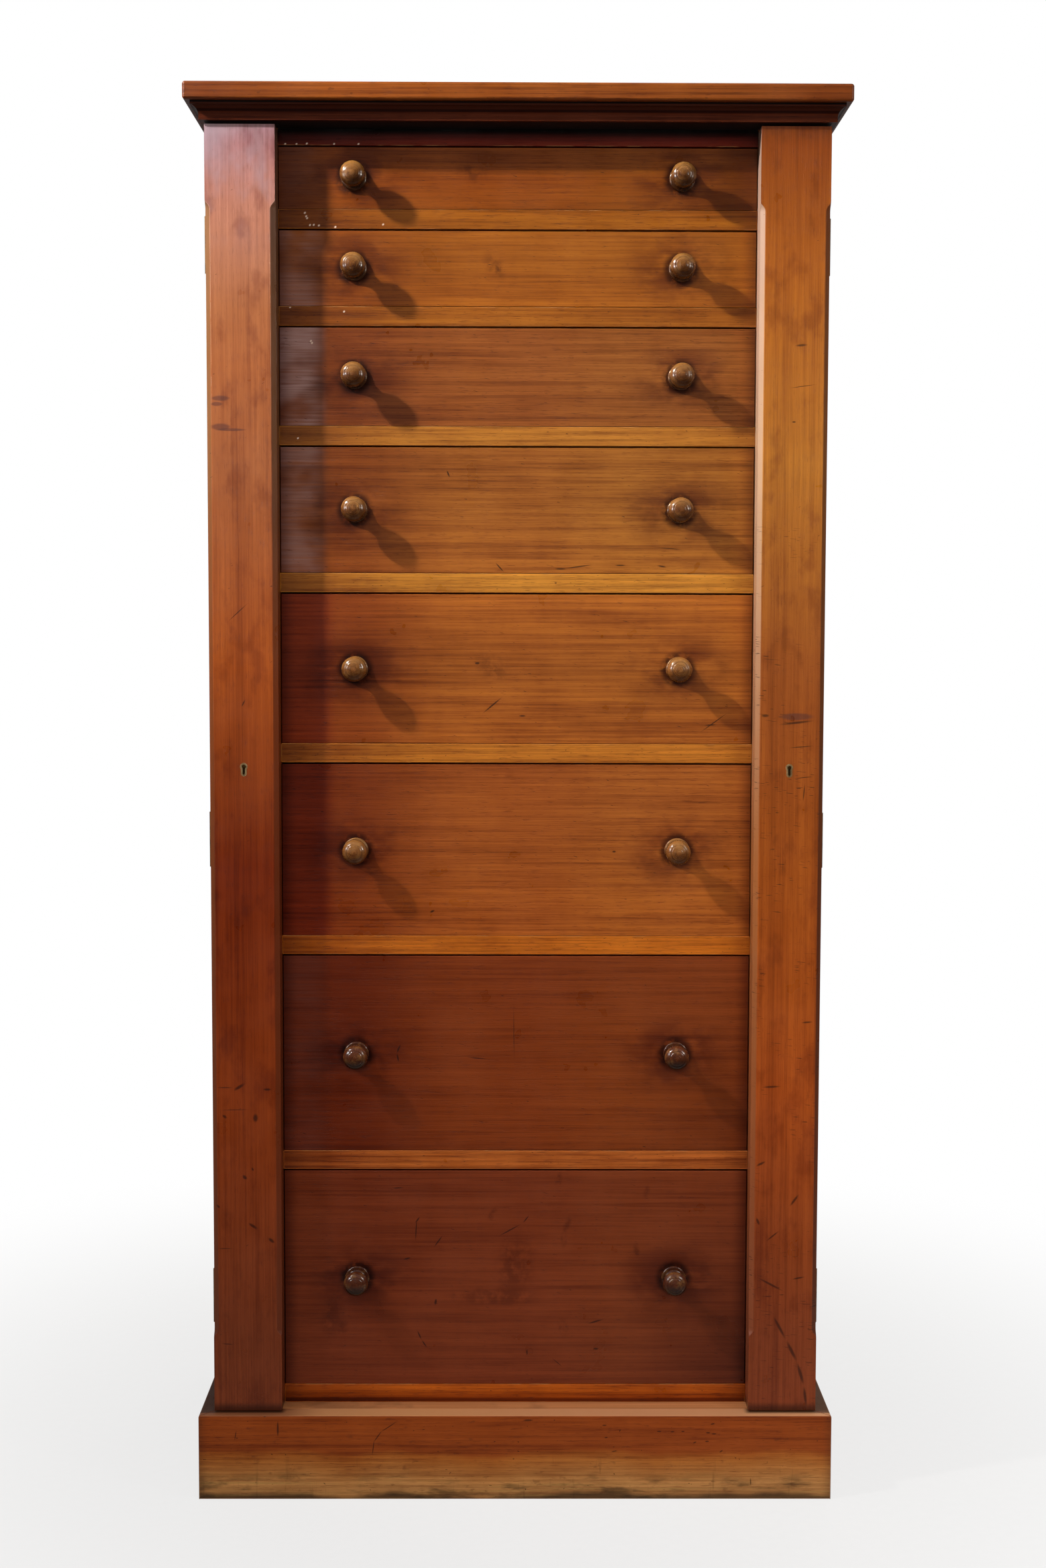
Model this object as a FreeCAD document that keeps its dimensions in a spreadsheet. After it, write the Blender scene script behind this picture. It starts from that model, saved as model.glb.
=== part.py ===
"""A tall side-locking chest of eight graduated drawers, in millimetres.

A hinged pilaster flap down each side of the front locks the drawers in. +Z is up, the front faces -Y
and the origin is on the floor, below the middle of the top board.
"""
import FreeCAD, Part
import Sketcher
import math
import os
import types

SIZES = {
    # Carcass
    "carcass_width": 660.0,
    "side_thickness": 20.0,
    "top_depth": 460.0,
    "top_thickness": 18.5,
    "top_overhang": 20.0,
    "top_back_overhang": 8.0,
    "top_edge_radius": 3.0,
    "cornice_height": 18.0,
    "cornice_projection": 13.0,
    "cornice_foot": 5.0,
    "cornice_fillet": 3.6,
    "cornice_quirk": 1.5,
    "cornice_hollow": 11.0,
    "frieze_height": 18.0,
    "stile_thickness": 22.0,
    "back_thickness": 10.0,
    "back_rebate": 10.0,
    "back_lap": 8.0,
    "back_board_count": 4,
    # Plinth and bottom
    "plinth_height": 93.5,
    "plinth_thickness": 22.0,
    "plinth_side_projection": 16.0,
    "plinth_front_projection": 12.0,
    "plinth_edge_radius": 2.0,
    "bottom_thickness": 18.0,
    "corner_block": 48.0,
    # Rails, runners and stops between the drawers
    "rail_thickness": 20.7,
    "rail_depth": 60.0,
    "tenon_length": 18.0,
    "tenon_thickness": 8.0,
    "tenon_setback": 7.0,
    "runner_bearing": 22.0,
    "guide_height": 16.0,
    "dust_board_thickness": 6.0,
    "dust_board_groove": 7.0,
    "stop_place": 130.0,
    "stop_width": 36.0,
    "stop_depth": 22.0,
    "stop_height": 5.0,
    # Drawers, the first at the top
    "drawer_height_1": 64.5,
    "drawer_height_2": 79.5,
    "drawer_height_3": 104.0,
    "drawer_height_4": 134.5,
    "drawer_height_5": 161.5,
    "drawer_height_6": 187.5,
    "drawer_height_7": 216.0,
    "drawer_height_8": 240.5,
    "drawer_back_gap": 12.0,
    "drawer_head_gap": 1.8,
    "drawer_seat_gap": 0.3,
    "drawer_end_gap": 0.9,
    "drawer_stop_gap": 0.3,
    "front_thickness": 22.0,
    "front_lap": 6.0,
    "drawer_side_thickness": 10.0,
    "drawer_side_drop": 3.0,
    "drawer_back_thickness": 10.0,
    "drawer_back_drop": 6.0,
    "drawer_bottom_thickness": 6.0,
    "drawer_bottom_rise": 9.0,
    "drawer_groove": 5.0,
    "panel_gap": 0.3,
    "tail_pitch": 30.0,
    "tail_slope": 0.14,
    "pin_width": 5.0,
    "dovetail_gap": 0.05,
    # Turned knobs
    "knob_place": 175.0,
    "knob_head_radius": 13.4,
    "knob_rim_radius": 7.0,
    "knob_crown_radius": 18.0,
    "knob_neck_length": 9.8,
    "knob_neck_radius": 5.8,
    "knob_neck_hollow": 9.0,
    "knob_collar_radius": 12.7,
    "knob_collar_height": 4.4,
    "knob_bead_roundness": 0.6,
    "knob_ring_radius": 10.4,
    "knob_ring_height": 1.8,
    "knob_spigot_radius": 7.0,
    "knob_spigot_gap": 0.05,
    # Locking flaps
    "flap_width": 74.0,
    "flap_thickness": 29.0,
    "flap_gap": 0.4,
    "flap_foot_gap": 1.5,
    "flap_head_gap": 3.0,
    "chamfer_width": 5.5,
    "chamfer_above_foot": 80.0,
    "chamfer_below_head": 76.0,
    "chamfer_stop": 12.0,
    # Butt hinges
    "hinge_length": 60.0,
    "hinge_inset": 120.0,
    "hinge_lock_gap": 20.0,
    "leaf_width": 18.0,
    "leaf_thickness": 1.8,
    "knuckle_radius": 2.8,
    "knuckle_clearance": 0.3,
    "knuckle_gap": 0.3,
    "pin_radius": 1.4,
    "pin_clearance": 0.05,
    "pin_offset": 1.5,
    # Link-plate locks
    "keyhole_above_foot": 708.0,
    "lock_plate_width": 30.0,
    "lock_plate_length": 62.0,
    "lock_plate_thickness": 2.0,
    "lock_case_width": 24.0,
    "lock_case_length": 48.0,
    "lock_case_depth": 11.0,
    "lock_case_wall": 1.5,
    "bolt_width": 15.0,
    "bolt_thickness": 3.0,
    "bolt_foot": 17.0,
    "bolt_nose_width": 4.0,
    "bolt_travel": 7.0,
    "bolt_clearance": 0.4,
    "staple_rise": 12.5,
    "staple_width": 10.0,
    "staple_thickness": 3.0,
    "staple_reach": 8.0,
    "staple_clearance": 2.0,
    "link_plate_width": 18.0,
    "link_plate_length": 24.0,
    "link_plate_thickness": 2.0,
    "key_pin_radius": 1.1,
    "key_pin_setback": 4.0,
    "key_head_radius": 2.2,
    "key_slot_half_width": 1.3,
    "key_slot_length": 8.6,
    "escutcheon_wall": 1.9,
    "escutcheon_depth": 6.0,
    "escutcheon_proud": 0.2,
}
DRAWERS = range(1, 9)
NEAR = 0.01


class Length:
    """A length that carries its value and the expression over the sheet that it comes from."""

    def __init__(self, value, text):
        self.value = float(value)
        self.text = text

    def __add__(self, other):
        other = length(other)
        return Length(self.value + other.value, f"({self.text} + {other.text})")

    def __sub__(self, other):
        other = length(other)
        return Length(self.value - other.value, f"({self.text} - {other.text})")

    def __mul__(self, other):
        other = length(other)
        return Length(self.value * other.value, f"({self.text} * {other.text})")

    def __truediv__(self, other):
        other = length(other)
        return Length(self.value / other.value, f"({self.text} / {other.text})")

    def __rsub__(self, other):
        return length(other) - self

    def __neg__(self):
        return length(0) - self

    def root(self):
        return Length(math.sqrt(self.value), f"sqrt({self.text})")

    __radd__ = __add__
    __rmul__ = __mul__


def length(amount):
    """The amount as a Length, for a plain number."""
    if isinstance(amount, Length):
        return amount
    return Length(amount, f"({float(amount)})")


# The sheet of driving sizes
doc = FreeCAD.newDocument("SideLockingChest")
sheet = doc.addObject("Spreadsheet::Sheet", "Sizes")
size = types.SimpleNamespace()
for row, (alias, number) in enumerate(SIZES.items(), start=1):
    sheet.set(f"A{row}", alias)
    sheet.set(f"B{row}", str(number))
    sheet.setAlias(f"B{row}", alias)
    setattr(size, alias, Length(number, f"Sizes.{alias}"))
doc.recompute()


# Placing and grouping
def bind(item, name, amount):
    item.setExpression(name, length(amount).text)


def place(item, x, y, z):
    """Puts an item's own origin at a place in the chest's frame."""
    bind(item, "Placement.Base.x", x)
    bind(item, "Placement.Base.y", y)
    bind(item, "Placement.Base.z", z)
    return item


def board(name, x, y, z):
    """A plain board between two places on each axis."""
    box = doc.addObject("Part::Box", name)
    bind(box, "Length", x[1] - x[0])
    bind(box, "Width", y[1] - y[0])
    bind(box, "Height", z[1] - z[0])
    return place(box, x[0], y[0], z[0])


def mirrored(name, source):
    """The left-hand twin of a right-hand piece."""
    twin = doc.addObject("Part::Mirroring", name)
    twin.Source = source
    twin.Normal = (1, 0, 0)
    return twin


def group(name, pieces):
    """Separate solids that share one node."""
    compound = doc.addObject("Part::Compound", name)
    compound.Links = pieces
    return compound


def pair(name, right):
    return group(name, [right, mirrored(name + "_twin", right)])


# Sketches and features
def new_body(name):
    return doc.addObject("PartDesign::Body", name)


def new_sketch(body, role, lift=0):
    """A sketch on one of the body's own planes, lifted along the plane's normal."""
    sketch = body.newObject("Sketcher::SketchObject", body.Name + "_sketch")
    base = [plane for plane in body.Origin.OriginFeatures if plane.Role == role]
    sketch.AttachmentSupport = [(base[0], "")]
    sketch.MapMode = "FlatFace"
    bind(sketch, "AttachmentOffset.Base.z", lift)
    return sketch


def pin_point(sketch, item, end, x, y):
    """Fixes one point of a sketch by its two distances from the sketch's origin."""
    for kind, axis, amount in (("DistanceX", -2, length(x)), ("DistanceY", -1, length(y))):
        if amount.value == 0:
            sketch.addConstraint(Sketcher.Constraint("PointOnObject", item, end, axis))
            continue
        index = sketch.addConstraint(Sketcher.Constraint(kind, -1, 1, item, end, amount.value))
        bind(sketch, f"Constraints[{index}]", amount)


def bind_radius(sketch, item, radius):
    index = sketch.addConstraint(Sketcher.Constraint("Radius", item, radius.value))
    bind(sketch, f"Constraints[{index}]", radius)


def arc_between(start, end, radius, outward):
    """The short arc between two points, bulging to the right of the way when outward."""
    way = end - start
    left = FreeCAD.Vector(-way.y, way.x, 0).normalize()
    rise = math.sqrt(radius ** 2 - (way.Length / 2) ** 2)
    centre = (start + end) / 2 + left * (rise if outward else -rise)
    circle = Part.Circle(centre, FreeCAD.Vector(0, 0, 1), radius)
    ends = (start, end) if outward else (end, start)
    angles = [math.atan2(point.y - centre.y, point.x - centre.x) for point in ends]
    return Part.ArcOfCircle(circle, angles[0], angles[1])


def draw(sketch, corners):
    """A closed outline, anticlockwise. A corner may be followed by the radius of an arc to the next one
    and "out" or "in", for the way the arc bulges."""
    first = sketch.GeometryCount
    count = len(corners)
    points = [FreeCAD.Vector(length(corner[0]).value, length(corner[1]).value, 0) for corner in corners]
    ends = []
    for index, corner in enumerate(corners):
        start = points[index]
        end = points[(index + 1) % count]
        if len(corner) == 2:
            sketch.addGeometry(Part.LineSegment(start, end))
            ends.append((1, 2))
            continue
        outward = corner[3] == "out"
        sketch.addGeometry(arc_between(start, end, corner[2].value, outward))
        ends.append((1, 2) if outward else (2, 1))
    for index in range(count):
        after = (index + 1) % count
        sketch.addConstraint(
            Sketcher.Constraint("Coincident", first + index, ends[index][1], first + after, ends[after][0]))
    for index, corner in enumerate(corners):
        pin_point(sketch, first + index, ends[index][0], corner[0], corner[1])
        if len(corner) > 2:
            bind_radius(sketch, first + index, corner[2])


def draw_rectangle(sketch, x, y):
    draw(sketch, [(x[0], y[0]), (x[1], y[0]), (x[1], y[1]), (x[0], y[1])])


def draw_circle(sketch, x, y, radius):
    centre = FreeCAD.Vector(length(x).value, length(y).value, 0)
    item = sketch.addGeometry(Part.Circle(centre, FreeCAD.Vector(0, 0, 1), radius.value))
    pin_point(sketch, item, 3, x, y)
    bind_radius(sketch, item, radius)


def pad(body, sketch, amount, reverse=False):
    feature = body.newObject("PartDesign::Pad", body.Name + "_pad")
    feature.Profile = sketch
    feature.Reversed = reverse
    bind(feature, "Length", amount)
    return feature


def pocket(body, sketch, amount=None, reverse=False):
    """A cut to a depth against the sketch's normal, or right through both ways where no depth is given."""
    feature = body.newObject("PartDesign::Pocket", body.Name + "_pocket")
    feature.Profile = sketch
    feature.Reversed = reverse
    if amount is None:
        feature.Type = "ThroughAll"
        feature.Midplane = True
    else:
        bind(feature, "Length", amount)
    return feature


def repeat_up(body, features, sketch, count, span):
    """Copies of features up the sketch's vertical axis, spread over a span."""
    pattern = body.newObject("PartDesign::LinearPattern", body.Name + "_pattern")
    pattern.Originals = features
    pattern.Direction = (sketch, ["V_Axis"])
    pattern.Occurrences = count
    bind(pattern, "Length", span)
    body.Tip = pattern
    return pattern


def round_edges(body, base, radius, wanted):
    """Rounds those edges of a feature whose middle passes the test."""
    doc.recompute()
    names = []
    for index, edge in enumerate(base.Shape.Edges, start=1):
        if wanted(edge.CenterOfMass):
            names.append(f"Edge{index}")
    fillet = body.newObject("PartDesign::Fillet", body.Name + "_fillet")
    fillet.Base = (base, names)
    bind(fillet, "Radius", radius)
    return fillet


# Places that several pieces share
SIDE_OUT = size.carcass_width / 2
SIDE_IN = SIDE_OUT - size.side_thickness
FLAP_IN = SIDE_OUT - size.flap_width
FLAP_FRONT = -size.top_depth / 2 + size.top_overhang
FLAP_BACK = FLAP_FRONT + size.flap_thickness
FRONT = FLAP_BACK + size.flap_gap
BACK = size.top_depth / 2 - size.top_back_overhang
BACK_IN = BACK - size.back_thickness
RAIL_BACK = FRONT + size.rail_depth
FLOOR = size.plinth_height


def rail_top(number):
    """The top of the rail under a drawer."""
    level = FLOOR + size.rail_thickness
    for below in range(number + 1, len(DRAWERS) + 1):
        level = level + size.drawer_seat_gap + getattr(size, f"drawer_height_{below}")
        level = level + size.drawer_head_gap + size.rail_thickness
    return level


FRIEZE = rail_top(1) + size.drawer_seat_gap + size.drawer_height_1 + size.drawer_head_gap
SOFFIT = FRIEZE + size.frieze_height
TOP = SOFFIT + size.cornice_height
FLAP_FOOT = FLOOR + size.flap_foot_gap
FLAP_HEIGHT = SOFFIT - size.flap_head_gap - FLAP_FOOT
HINGE_FEET = (
    size.hinge_inset - size.hinge_length / 2,
    size.keyhole_above_foot - size.lock_plate_length / 2 - size.hinge_lock_gap - size.hinge_length,
    FLAP_HEIGHT - size.hinge_inset - size.hinge_length / 2)
LOCK_MIDDLE = FLAP_IN + size.flap_width / 2
KEYHOLE = FLAP_FOOT + size.keyhole_above_foot
NODES = []


def keep(item, label):
    """Marks an object as one of the chest's sub-parts."""
    item.Label = label
    NODES.append(item)
    return item


# Plinth: a mitred front board and returns, a back board and glue blocks, with the bottom let in flush
PLINTH_OUT = SIDE_OUT + size.plinth_side_projection
PLINTH_IN = PLINTH_OUT - size.plinth_thickness
PLINTH_FRONT = FLAP_FRONT - size.plinth_front_projection
PLINTH_FRONT_IN = PLINTH_FRONT + size.plinth_thickness
UNDERSIDE = FLOOR - size.bottom_thickness


def plinth_board(name, corners, outer):
    """A plinth board from its plan, with its worn top arris rounded along the outer face."""
    body = new_body(name)
    plan = new_sketch(body, "XY_Plane")
    draw(plan, corners)
    block = pad(body, plan, size.plinth_height)
    top = size.plinth_height.value
    round_edges(
        body, block, size.plinth_edge_radius, lambda point: abs(point.z - top) < NEAR and outer(point))
    return body


plinth_front = plinth_board(
    "plinth_front",
    [(-PLINTH_OUT, PLINTH_FRONT), (PLINTH_OUT, PLINTH_FRONT),
     (PLINTH_IN, PLINTH_FRONT_IN), (-PLINTH_IN, PLINTH_FRONT_IN)],
    lambda point: abs(point.y - PLINTH_FRONT.value) < NEAR)
keep(plinth_front, "plinth_front")
plinth_return = plinth_board(
    "plinth_return",
    [(PLINTH_OUT, PLINTH_FRONT), (PLINTH_OUT, BACK), (PLINTH_IN, BACK), (PLINTH_IN, PLINTH_FRONT_IN)],
    lambda point: abs(point.x - PLINTH_OUT.value) < NEAR)
plinth_back = board(
    "plinth_back", (-PLINTH_IN, PLINTH_IN), (BACK - size.plinth_thickness, BACK), (0, UNDERSIDE))
plinth_left = mirrored("plinth_left", plinth_return)
keep(group("plinth_returns_and_back", [plinth_return, plinth_left, plinth_back]), "plinth_returns_and_back")

block_bodies = []
for label, corner_y, way in (("front", PLINTH_FRONT_IN, 1), ("back", BACK - size.plinth_thickness, -1)):
    block_body = new_body("corner_block_" + label)
    block_plan = new_sketch(block_body, "XY_Plane")
    along = (PLINTH_IN, corner_y + size.corner_block * way)
    across = (PLINTH_IN - size.corner_block, corner_y)
    inner = [along, across] if way > 0 else [across, along]
    draw(block_plan, [(PLINTH_IN, corner_y)] + inner)
    pad(block_body, block_plan, UNDERSIDE)
    block_bodies += [block_body, mirrored(block_body.Name + "_left", block_body)]
keep(group("plinth_glue_blocks", block_bodies), "plinth_glue_blocks")
bottom = board("bottom_board", (-PLINTH_IN, PLINTH_IN), (PLINTH_FRONT_IN, BACK), (UNDERSIDE, FLOOR))
keep(bottom, "bottom_board")


# Hinge recesses, cut alike into the front edge of a side and the back of a flap
def hinge_recesses(body, outer_x, face_y, flap_foot, into_back):
    """Cuts the leaf recesses and the hollows for the knuckles. The cut runs towards +Y when into_back."""
    leaf_x = (outer_x - size.leaf_width, outer_x + size.pin_offset)
    pin_y = face_y - size.flap_gap / 2 if into_back else face_y + size.flap_gap / 2
    leaves = new_sketch(body, "XZ_Plane", -face_y)
    for foot in HINGE_FEET:
        draw_rectangle(leaves, leaf_x, (flap_foot + foot, flap_foot + foot + size.hinge_length))
    pocket(body, leaves, size.leaf_thickness, reverse=not into_back)
    for foot in HINGE_FEET:
        knuckle = new_sketch(body, "XY_Plane", flap_foot + foot + size.hinge_length)
        draw_circle(knuckle, outer_x + size.pin_offset, pin_y, size.knuckle_radius + size.knuckle_clearance)
        pocket(body, knuckle, size.hinge_length)


# Carcass sides: solid boards rebated for the back
side_depth = BACK - FRONT
side = new_body("carcass_side_right")
side_plan = new_sketch(side, "XY_Plane")
draw(side_plan, [
    (0, 0), (size.side_thickness, 0), (size.side_thickness, side_depth), (size.back_rebate, side_depth),
    (size.back_rebate, side_depth - size.back_thickness), (0, side_depth - size.back_thickness)])
pad(side, side_plan, SOFFIT - FLOOR)
hinge_recesses(side, size.side_thickness, length(0), size.flap_foot_gap, True)
place(side, SIDE_IN, FRONT, FLOOR)
keep(side, "carcass_side_right")
keep(mirrored("carcass_side_left", side), "carcass_side_left")

# Back: upright boards lapped edge to edge in the rebates of the sides
back_count = int(size.back_board_count.value)
back_half = SIDE_IN + size.back_rebate
back_pitch = back_half * 2 / back_count
back_pieces = []
for number in range(back_count):
    left = back_pitch * number - back_half
    right = left + back_pitch
    lap_left = length(0) if number == 0 else size.back_lap
    lap_right = length(0) if number == back_count - 1 else size.back_lap
    half = size.back_thickness / 2
    outline = [(left + lap_left, 0), (right + lap_right, 0)]
    if lap_right.value:
        outline += [(right + lap_right, half), (right, half)]
    outline += [(right, size.back_thickness), (left, size.back_thickness)]
    if lap_left.value:
        outline += [(left, half), (left + lap_left, half)]
    back_board = new_body(f"back_board_{number + 1}")
    back_plan = new_sketch(back_board, "XY_Plane")
    draw(back_plan, outline)
    pad(back_board, back_plan, SOFFIT - FLOOR)
    back_pieces.append(place(back_board, 0, BACK_IN, FLOOR))
keep(group("back_boards", back_pieces), "back_boards")

# Front stiles: posts behind the flaps, mortised for the rails and cut for the link plates
rail_levels = [(rail_top(number) - size.rail_thickness, rail_top(number)) for number in DRAWERS]
rail_levels.append((FRIEZE, SOFFIT))
tenon_y = (size.tenon_setback, size.tenon_setback + size.tenon_thickness)
link_z = (KEYHOLE + size.staple_rise + size.staple_thickness / 2 - size.link_plate_length / 2,
          KEYHOLE + size.staple_rise + size.staple_thickness / 2 + size.link_plate_length / 2)
stile = new_body("front_stile")
stile_plan = new_sketch(stile, "XY_Plane")
draw_rectangle(stile_plan, (0, SIDE_IN - FLAP_IN), (0, size.stile_thickness))
pad(stile, stile_plan, SOFFIT - FLOOR)
mortises = new_sketch(stile, "YZ_Plane")
for low, high in rail_levels:
    draw_rectangle(mortises, tenon_y, (low - FLOOR, high - FLOOR))
pocket(stile, mortises, size.tenon_length, reverse=True)
link_recess = new_sketch(stile, "XZ_Plane")
link_middle = size.flap_width / 2
draw_rectangle(
    link_recess,
    (link_middle - size.link_plate_width / 2, link_middle + size.link_plate_width / 2),
    (link_z[0] - FLOOR, link_z[1] - FLOOR))
pocket(stile, link_recess, size.link_plate_thickness)
place(stile, FLAP_IN, FRONT, FLOOR)
keep(pair("front_stiles", stile), "front_stiles")

# Rails: tenoned between the stiles and grooved along the back for the dust boards
rails = []
for number, (low, high) in enumerate(rail_levels, start=1):
    rail = new_body(f"rail_{number}")
    rail_plan = new_sketch(rail, "XY_Plane")
    tip = FLAP_IN + size.tenon_length
    draw(rail_plan, [
        (-FLAP_IN, 0), (FLAP_IN, 0),
        (FLAP_IN, tenon_y[0]), (tip, tenon_y[0]), (tip, tenon_y[1]), (FLAP_IN, tenon_y[1]),
        (FLAP_IN, size.rail_depth), (-FLAP_IN, size.rail_depth),
        (-FLAP_IN, tenon_y[1]), (-tip, tenon_y[1]), (-tip, tenon_y[0]), (-FLAP_IN, tenon_y[0])])
    pad(rail, rail_plan, high - low)
    if number < len(DRAWERS):
        groove = new_sketch(rail, "YZ_Plane")
        middle = (high - low) / 2
        draw_rectangle(
            groove,
            (size.rail_depth - size.dust_board_groove, size.rail_depth),
            (middle - size.dust_board_thickness / 2, middle + size.dust_board_thickness / 2))
        pocket(rail, groove)
    rails.append(place(rail, 0, FRONT, low))
keep(group("front_rails", rails), "front_rails")

# Runners behind the rails, with guides on them; a pair of kickers keeps the top drawer level
RUNNER_IN = FLAP_IN - size.runner_bearing
runner_pieces = []
dust_boards = []
for number, (low, high) in enumerate(rail_levels, start=1):
    runner = new_body(f"runner_{number}")
    runner_section = new_sketch(runner, "XZ_Plane")
    width = SIDE_IN - RUNNER_IN
    grooved = number < len(DRAWERS)
    outline = [(0, 0), (width, 0), (width, high - low), (0, high - low)]
    if grooved:
        groove_low = (high - low) / 2 - size.dust_board_thickness / 2
        groove_high = groove_low + size.dust_board_thickness
        groove_in = size.dust_board_groove
        outline += [(0, groove_high), (groove_in, groove_high), (groove_in, groove_low), (0, groove_low)]
        dust_boards.append(board(
            f"dust_board_{number}",
            (-RUNNER_IN - groove_in, RUNNER_IN + groove_in),
            (RAIL_BACK - groove_in, BACK_IN),
            (low + groove_low, low + groove_high)))
    draw(runner_section, outline)
    pad(runner, runner_section, BACK_IN - RAIL_BACK, reverse=True)
    place(runner, RUNNER_IN, RAIL_BACK, low)
    runner_pieces += [runner, mirrored(f"runner_{number}_left", runner)]
    if number in DRAWERS:
        guide = board(
            f"guide_{number}",
            (FLAP_IN, SIDE_IN),
            (FRONT + size.stile_thickness, BACK_IN),
            (high, high + size.guide_height))
        runner_pieces += [guide, mirrored(f"guide_{number}_left", guide)]
keep(group("drawer_runners_and_guides", runner_pieces), "drawer_runners_and_guides")
keep(group("dust_boards", dust_boards), "dust_boards")

# Stops: blocks on each rail that the back of the drawer front meets
stop_front = FRONT + size.front_thickness + size.drawer_stop_gap
stops = []
for number in DRAWERS:
    stop = board(
        f"stop_{number}",
        (size.stop_place - size.stop_width / 2, size.stop_place + size.stop_width / 2),
        (stop_front, stop_front + size.stop_depth),
        (rail_top(number), rail_top(number) + size.stop_height))
    stops += [stop, mirrored(f"stop_{number}_left", stop)]
keep(group("drawer_stops", stops), "drawer_stops")

# Top: a board over the carcass and the flaps, a mitred cornice round it and the moulded slab
keep(board("under_top", (-SIDE_OUT, SIDE_OUT), (FLAP_FRONT, BACK), (SOFFIT, TOP)), "under_top")


def cornice(name, run, both_ends):
    """A run of the hollow moulding along +Y, mitred at its start and, for the front, at its far end."""
    body = new_body(name)
    section = new_sketch(body, "XZ_Plane", size.cornice_projection)
    out = size.cornice_projection
    high = size.cornice_height
    draw(section, [
        (0, 0), (size.cornice_foot, 0),
        (size.cornice_foot, size.cornice_fillet, size.cornice_hollow, "in"),
        (out - size.cornice_quirk, high - size.cornice_fillet),
        (out, high - size.cornice_fillet), (out, high), (0, high)])
    pad(body, section, run + out * 2 if both_ends else run + out, reverse=True)
    mitre = new_sketch(body, "XY_Plane")
    draw(mitre, [(0, 0), (-out, 0), (-out, -out * 2), (out * 2, -out * 2)])
    if both_ends:
        draw(mitre, [(0, run), (out * 2, run + out * 2), (-out, run + out * 2), (-out, run)])
    pocket(body, mitre)
    return body


cornice_front = cornice("cornice_front", SIDE_OUT * 2, True)
cornice_front.Placement.Rotation = FreeCAD.Rotation(FreeCAD.Vector(0, 0, 1), -90)
place(cornice_front, -SIDE_OUT, FLAP_FRONT, SOFFIT)
cornice_right = place(cornice("cornice_right", BACK - FLAP_FRONT, False), SIDE_OUT, FLAP_FRONT, SOFFIT)
cornice_left = mirrored("cornice_left", cornice_right)
keep(group("cornice_moulding", [cornice_front, cornice_right, cornice_left]), "cornice_moulding")

slab = new_body("top_board")
slab_plan = new_sketch(slab, "XY_Plane", TOP)
slab_half = SIDE_OUT + size.top_overhang
draw_rectangle(slab_plan, (-slab_half, slab_half), (-size.top_depth / 2, size.top_depth / 2))
slab_pad = pad(slab, slab_plan, size.top_thickness)
slab_back = size.top_depth.value / 2
round_edges(slab, slab_pad, size.top_edge_radius, lambda point: point.y < slab_back - NEAR)
keep(slab, "top_board")


# Drawers: half-blind dovetails at the front, through dovetails at the back, a bottom in grooves
DRAWER_HALF = FLAP_IN - size.drawer_end_gap
DRAWER_IN = DRAWER_HALF - size.drawer_side_thickness
BOTTOM_TOP = size.drawer_bottom_rise + size.drawer_bottom_thickness
DRAWER_LENGTH = BACK_IN - size.drawer_back_gap - FRONT
TAIL_LENGTH = size.front_thickness - size.front_lap


def tail_count(height):
    return max(2, round(height.value / size.tail_pitch.value))


def wedge(sketch, start, end, middle, half_start, half_end):
    """A trapezium about a level, between two depths, with a half width at each."""
    draw(sketch, [
        (start, middle - half_start), (end, middle - half_end), (end, middle + half_end),
        (start, middle + half_start)])


def drawer_front(number, height, side_height):
    body = new_body(f"drawer_{number}_front")
    face = new_sketch(body, "XZ_Plane")
    draw_rectangle(face, (-DRAWER_HALF, DRAWER_HALF), (0, height))
    pad(body, face, size.front_thickness, reverse=True)
    groove = new_sketch(body, "YZ_Plane")
    draw_rectangle(
        groove,
        (size.front_thickness - size.drawer_groove, size.front_thickness),
        (size.drawer_bottom_rise, BOTTOM_TOP))
    pocket(body, groove)
    count = tail_count(side_height)
    pitch = side_height / count
    tip = (pitch - size.pin_width) / 2 + size.dovetail_gap
    neck = tip - TAIL_LENGTH * size.tail_slope
    for end, reverse in ((DRAWER_HALF, False), (-DRAWER_HALF, True)):
        socket = new_sketch(body, "YZ_Plane", end)
        wedge(socket, size.front_lap, size.front_thickness, pitch / 2, tip, neck)
        cut = pocket(body, socket, size.drawer_side_thickness, reverse)
        repeat_up(body, [cut], socket, count, pitch * (count - 1))
    holes = new_sketch(body, "XZ_Plane")
    for knob_x in (-size.knob_place, size.knob_place):
        draw_circle(holes, knob_x, height / 2, size.knob_spigot_radius + size.knob_spigot_gap)
    pocket(body, holes)
    return body


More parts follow.
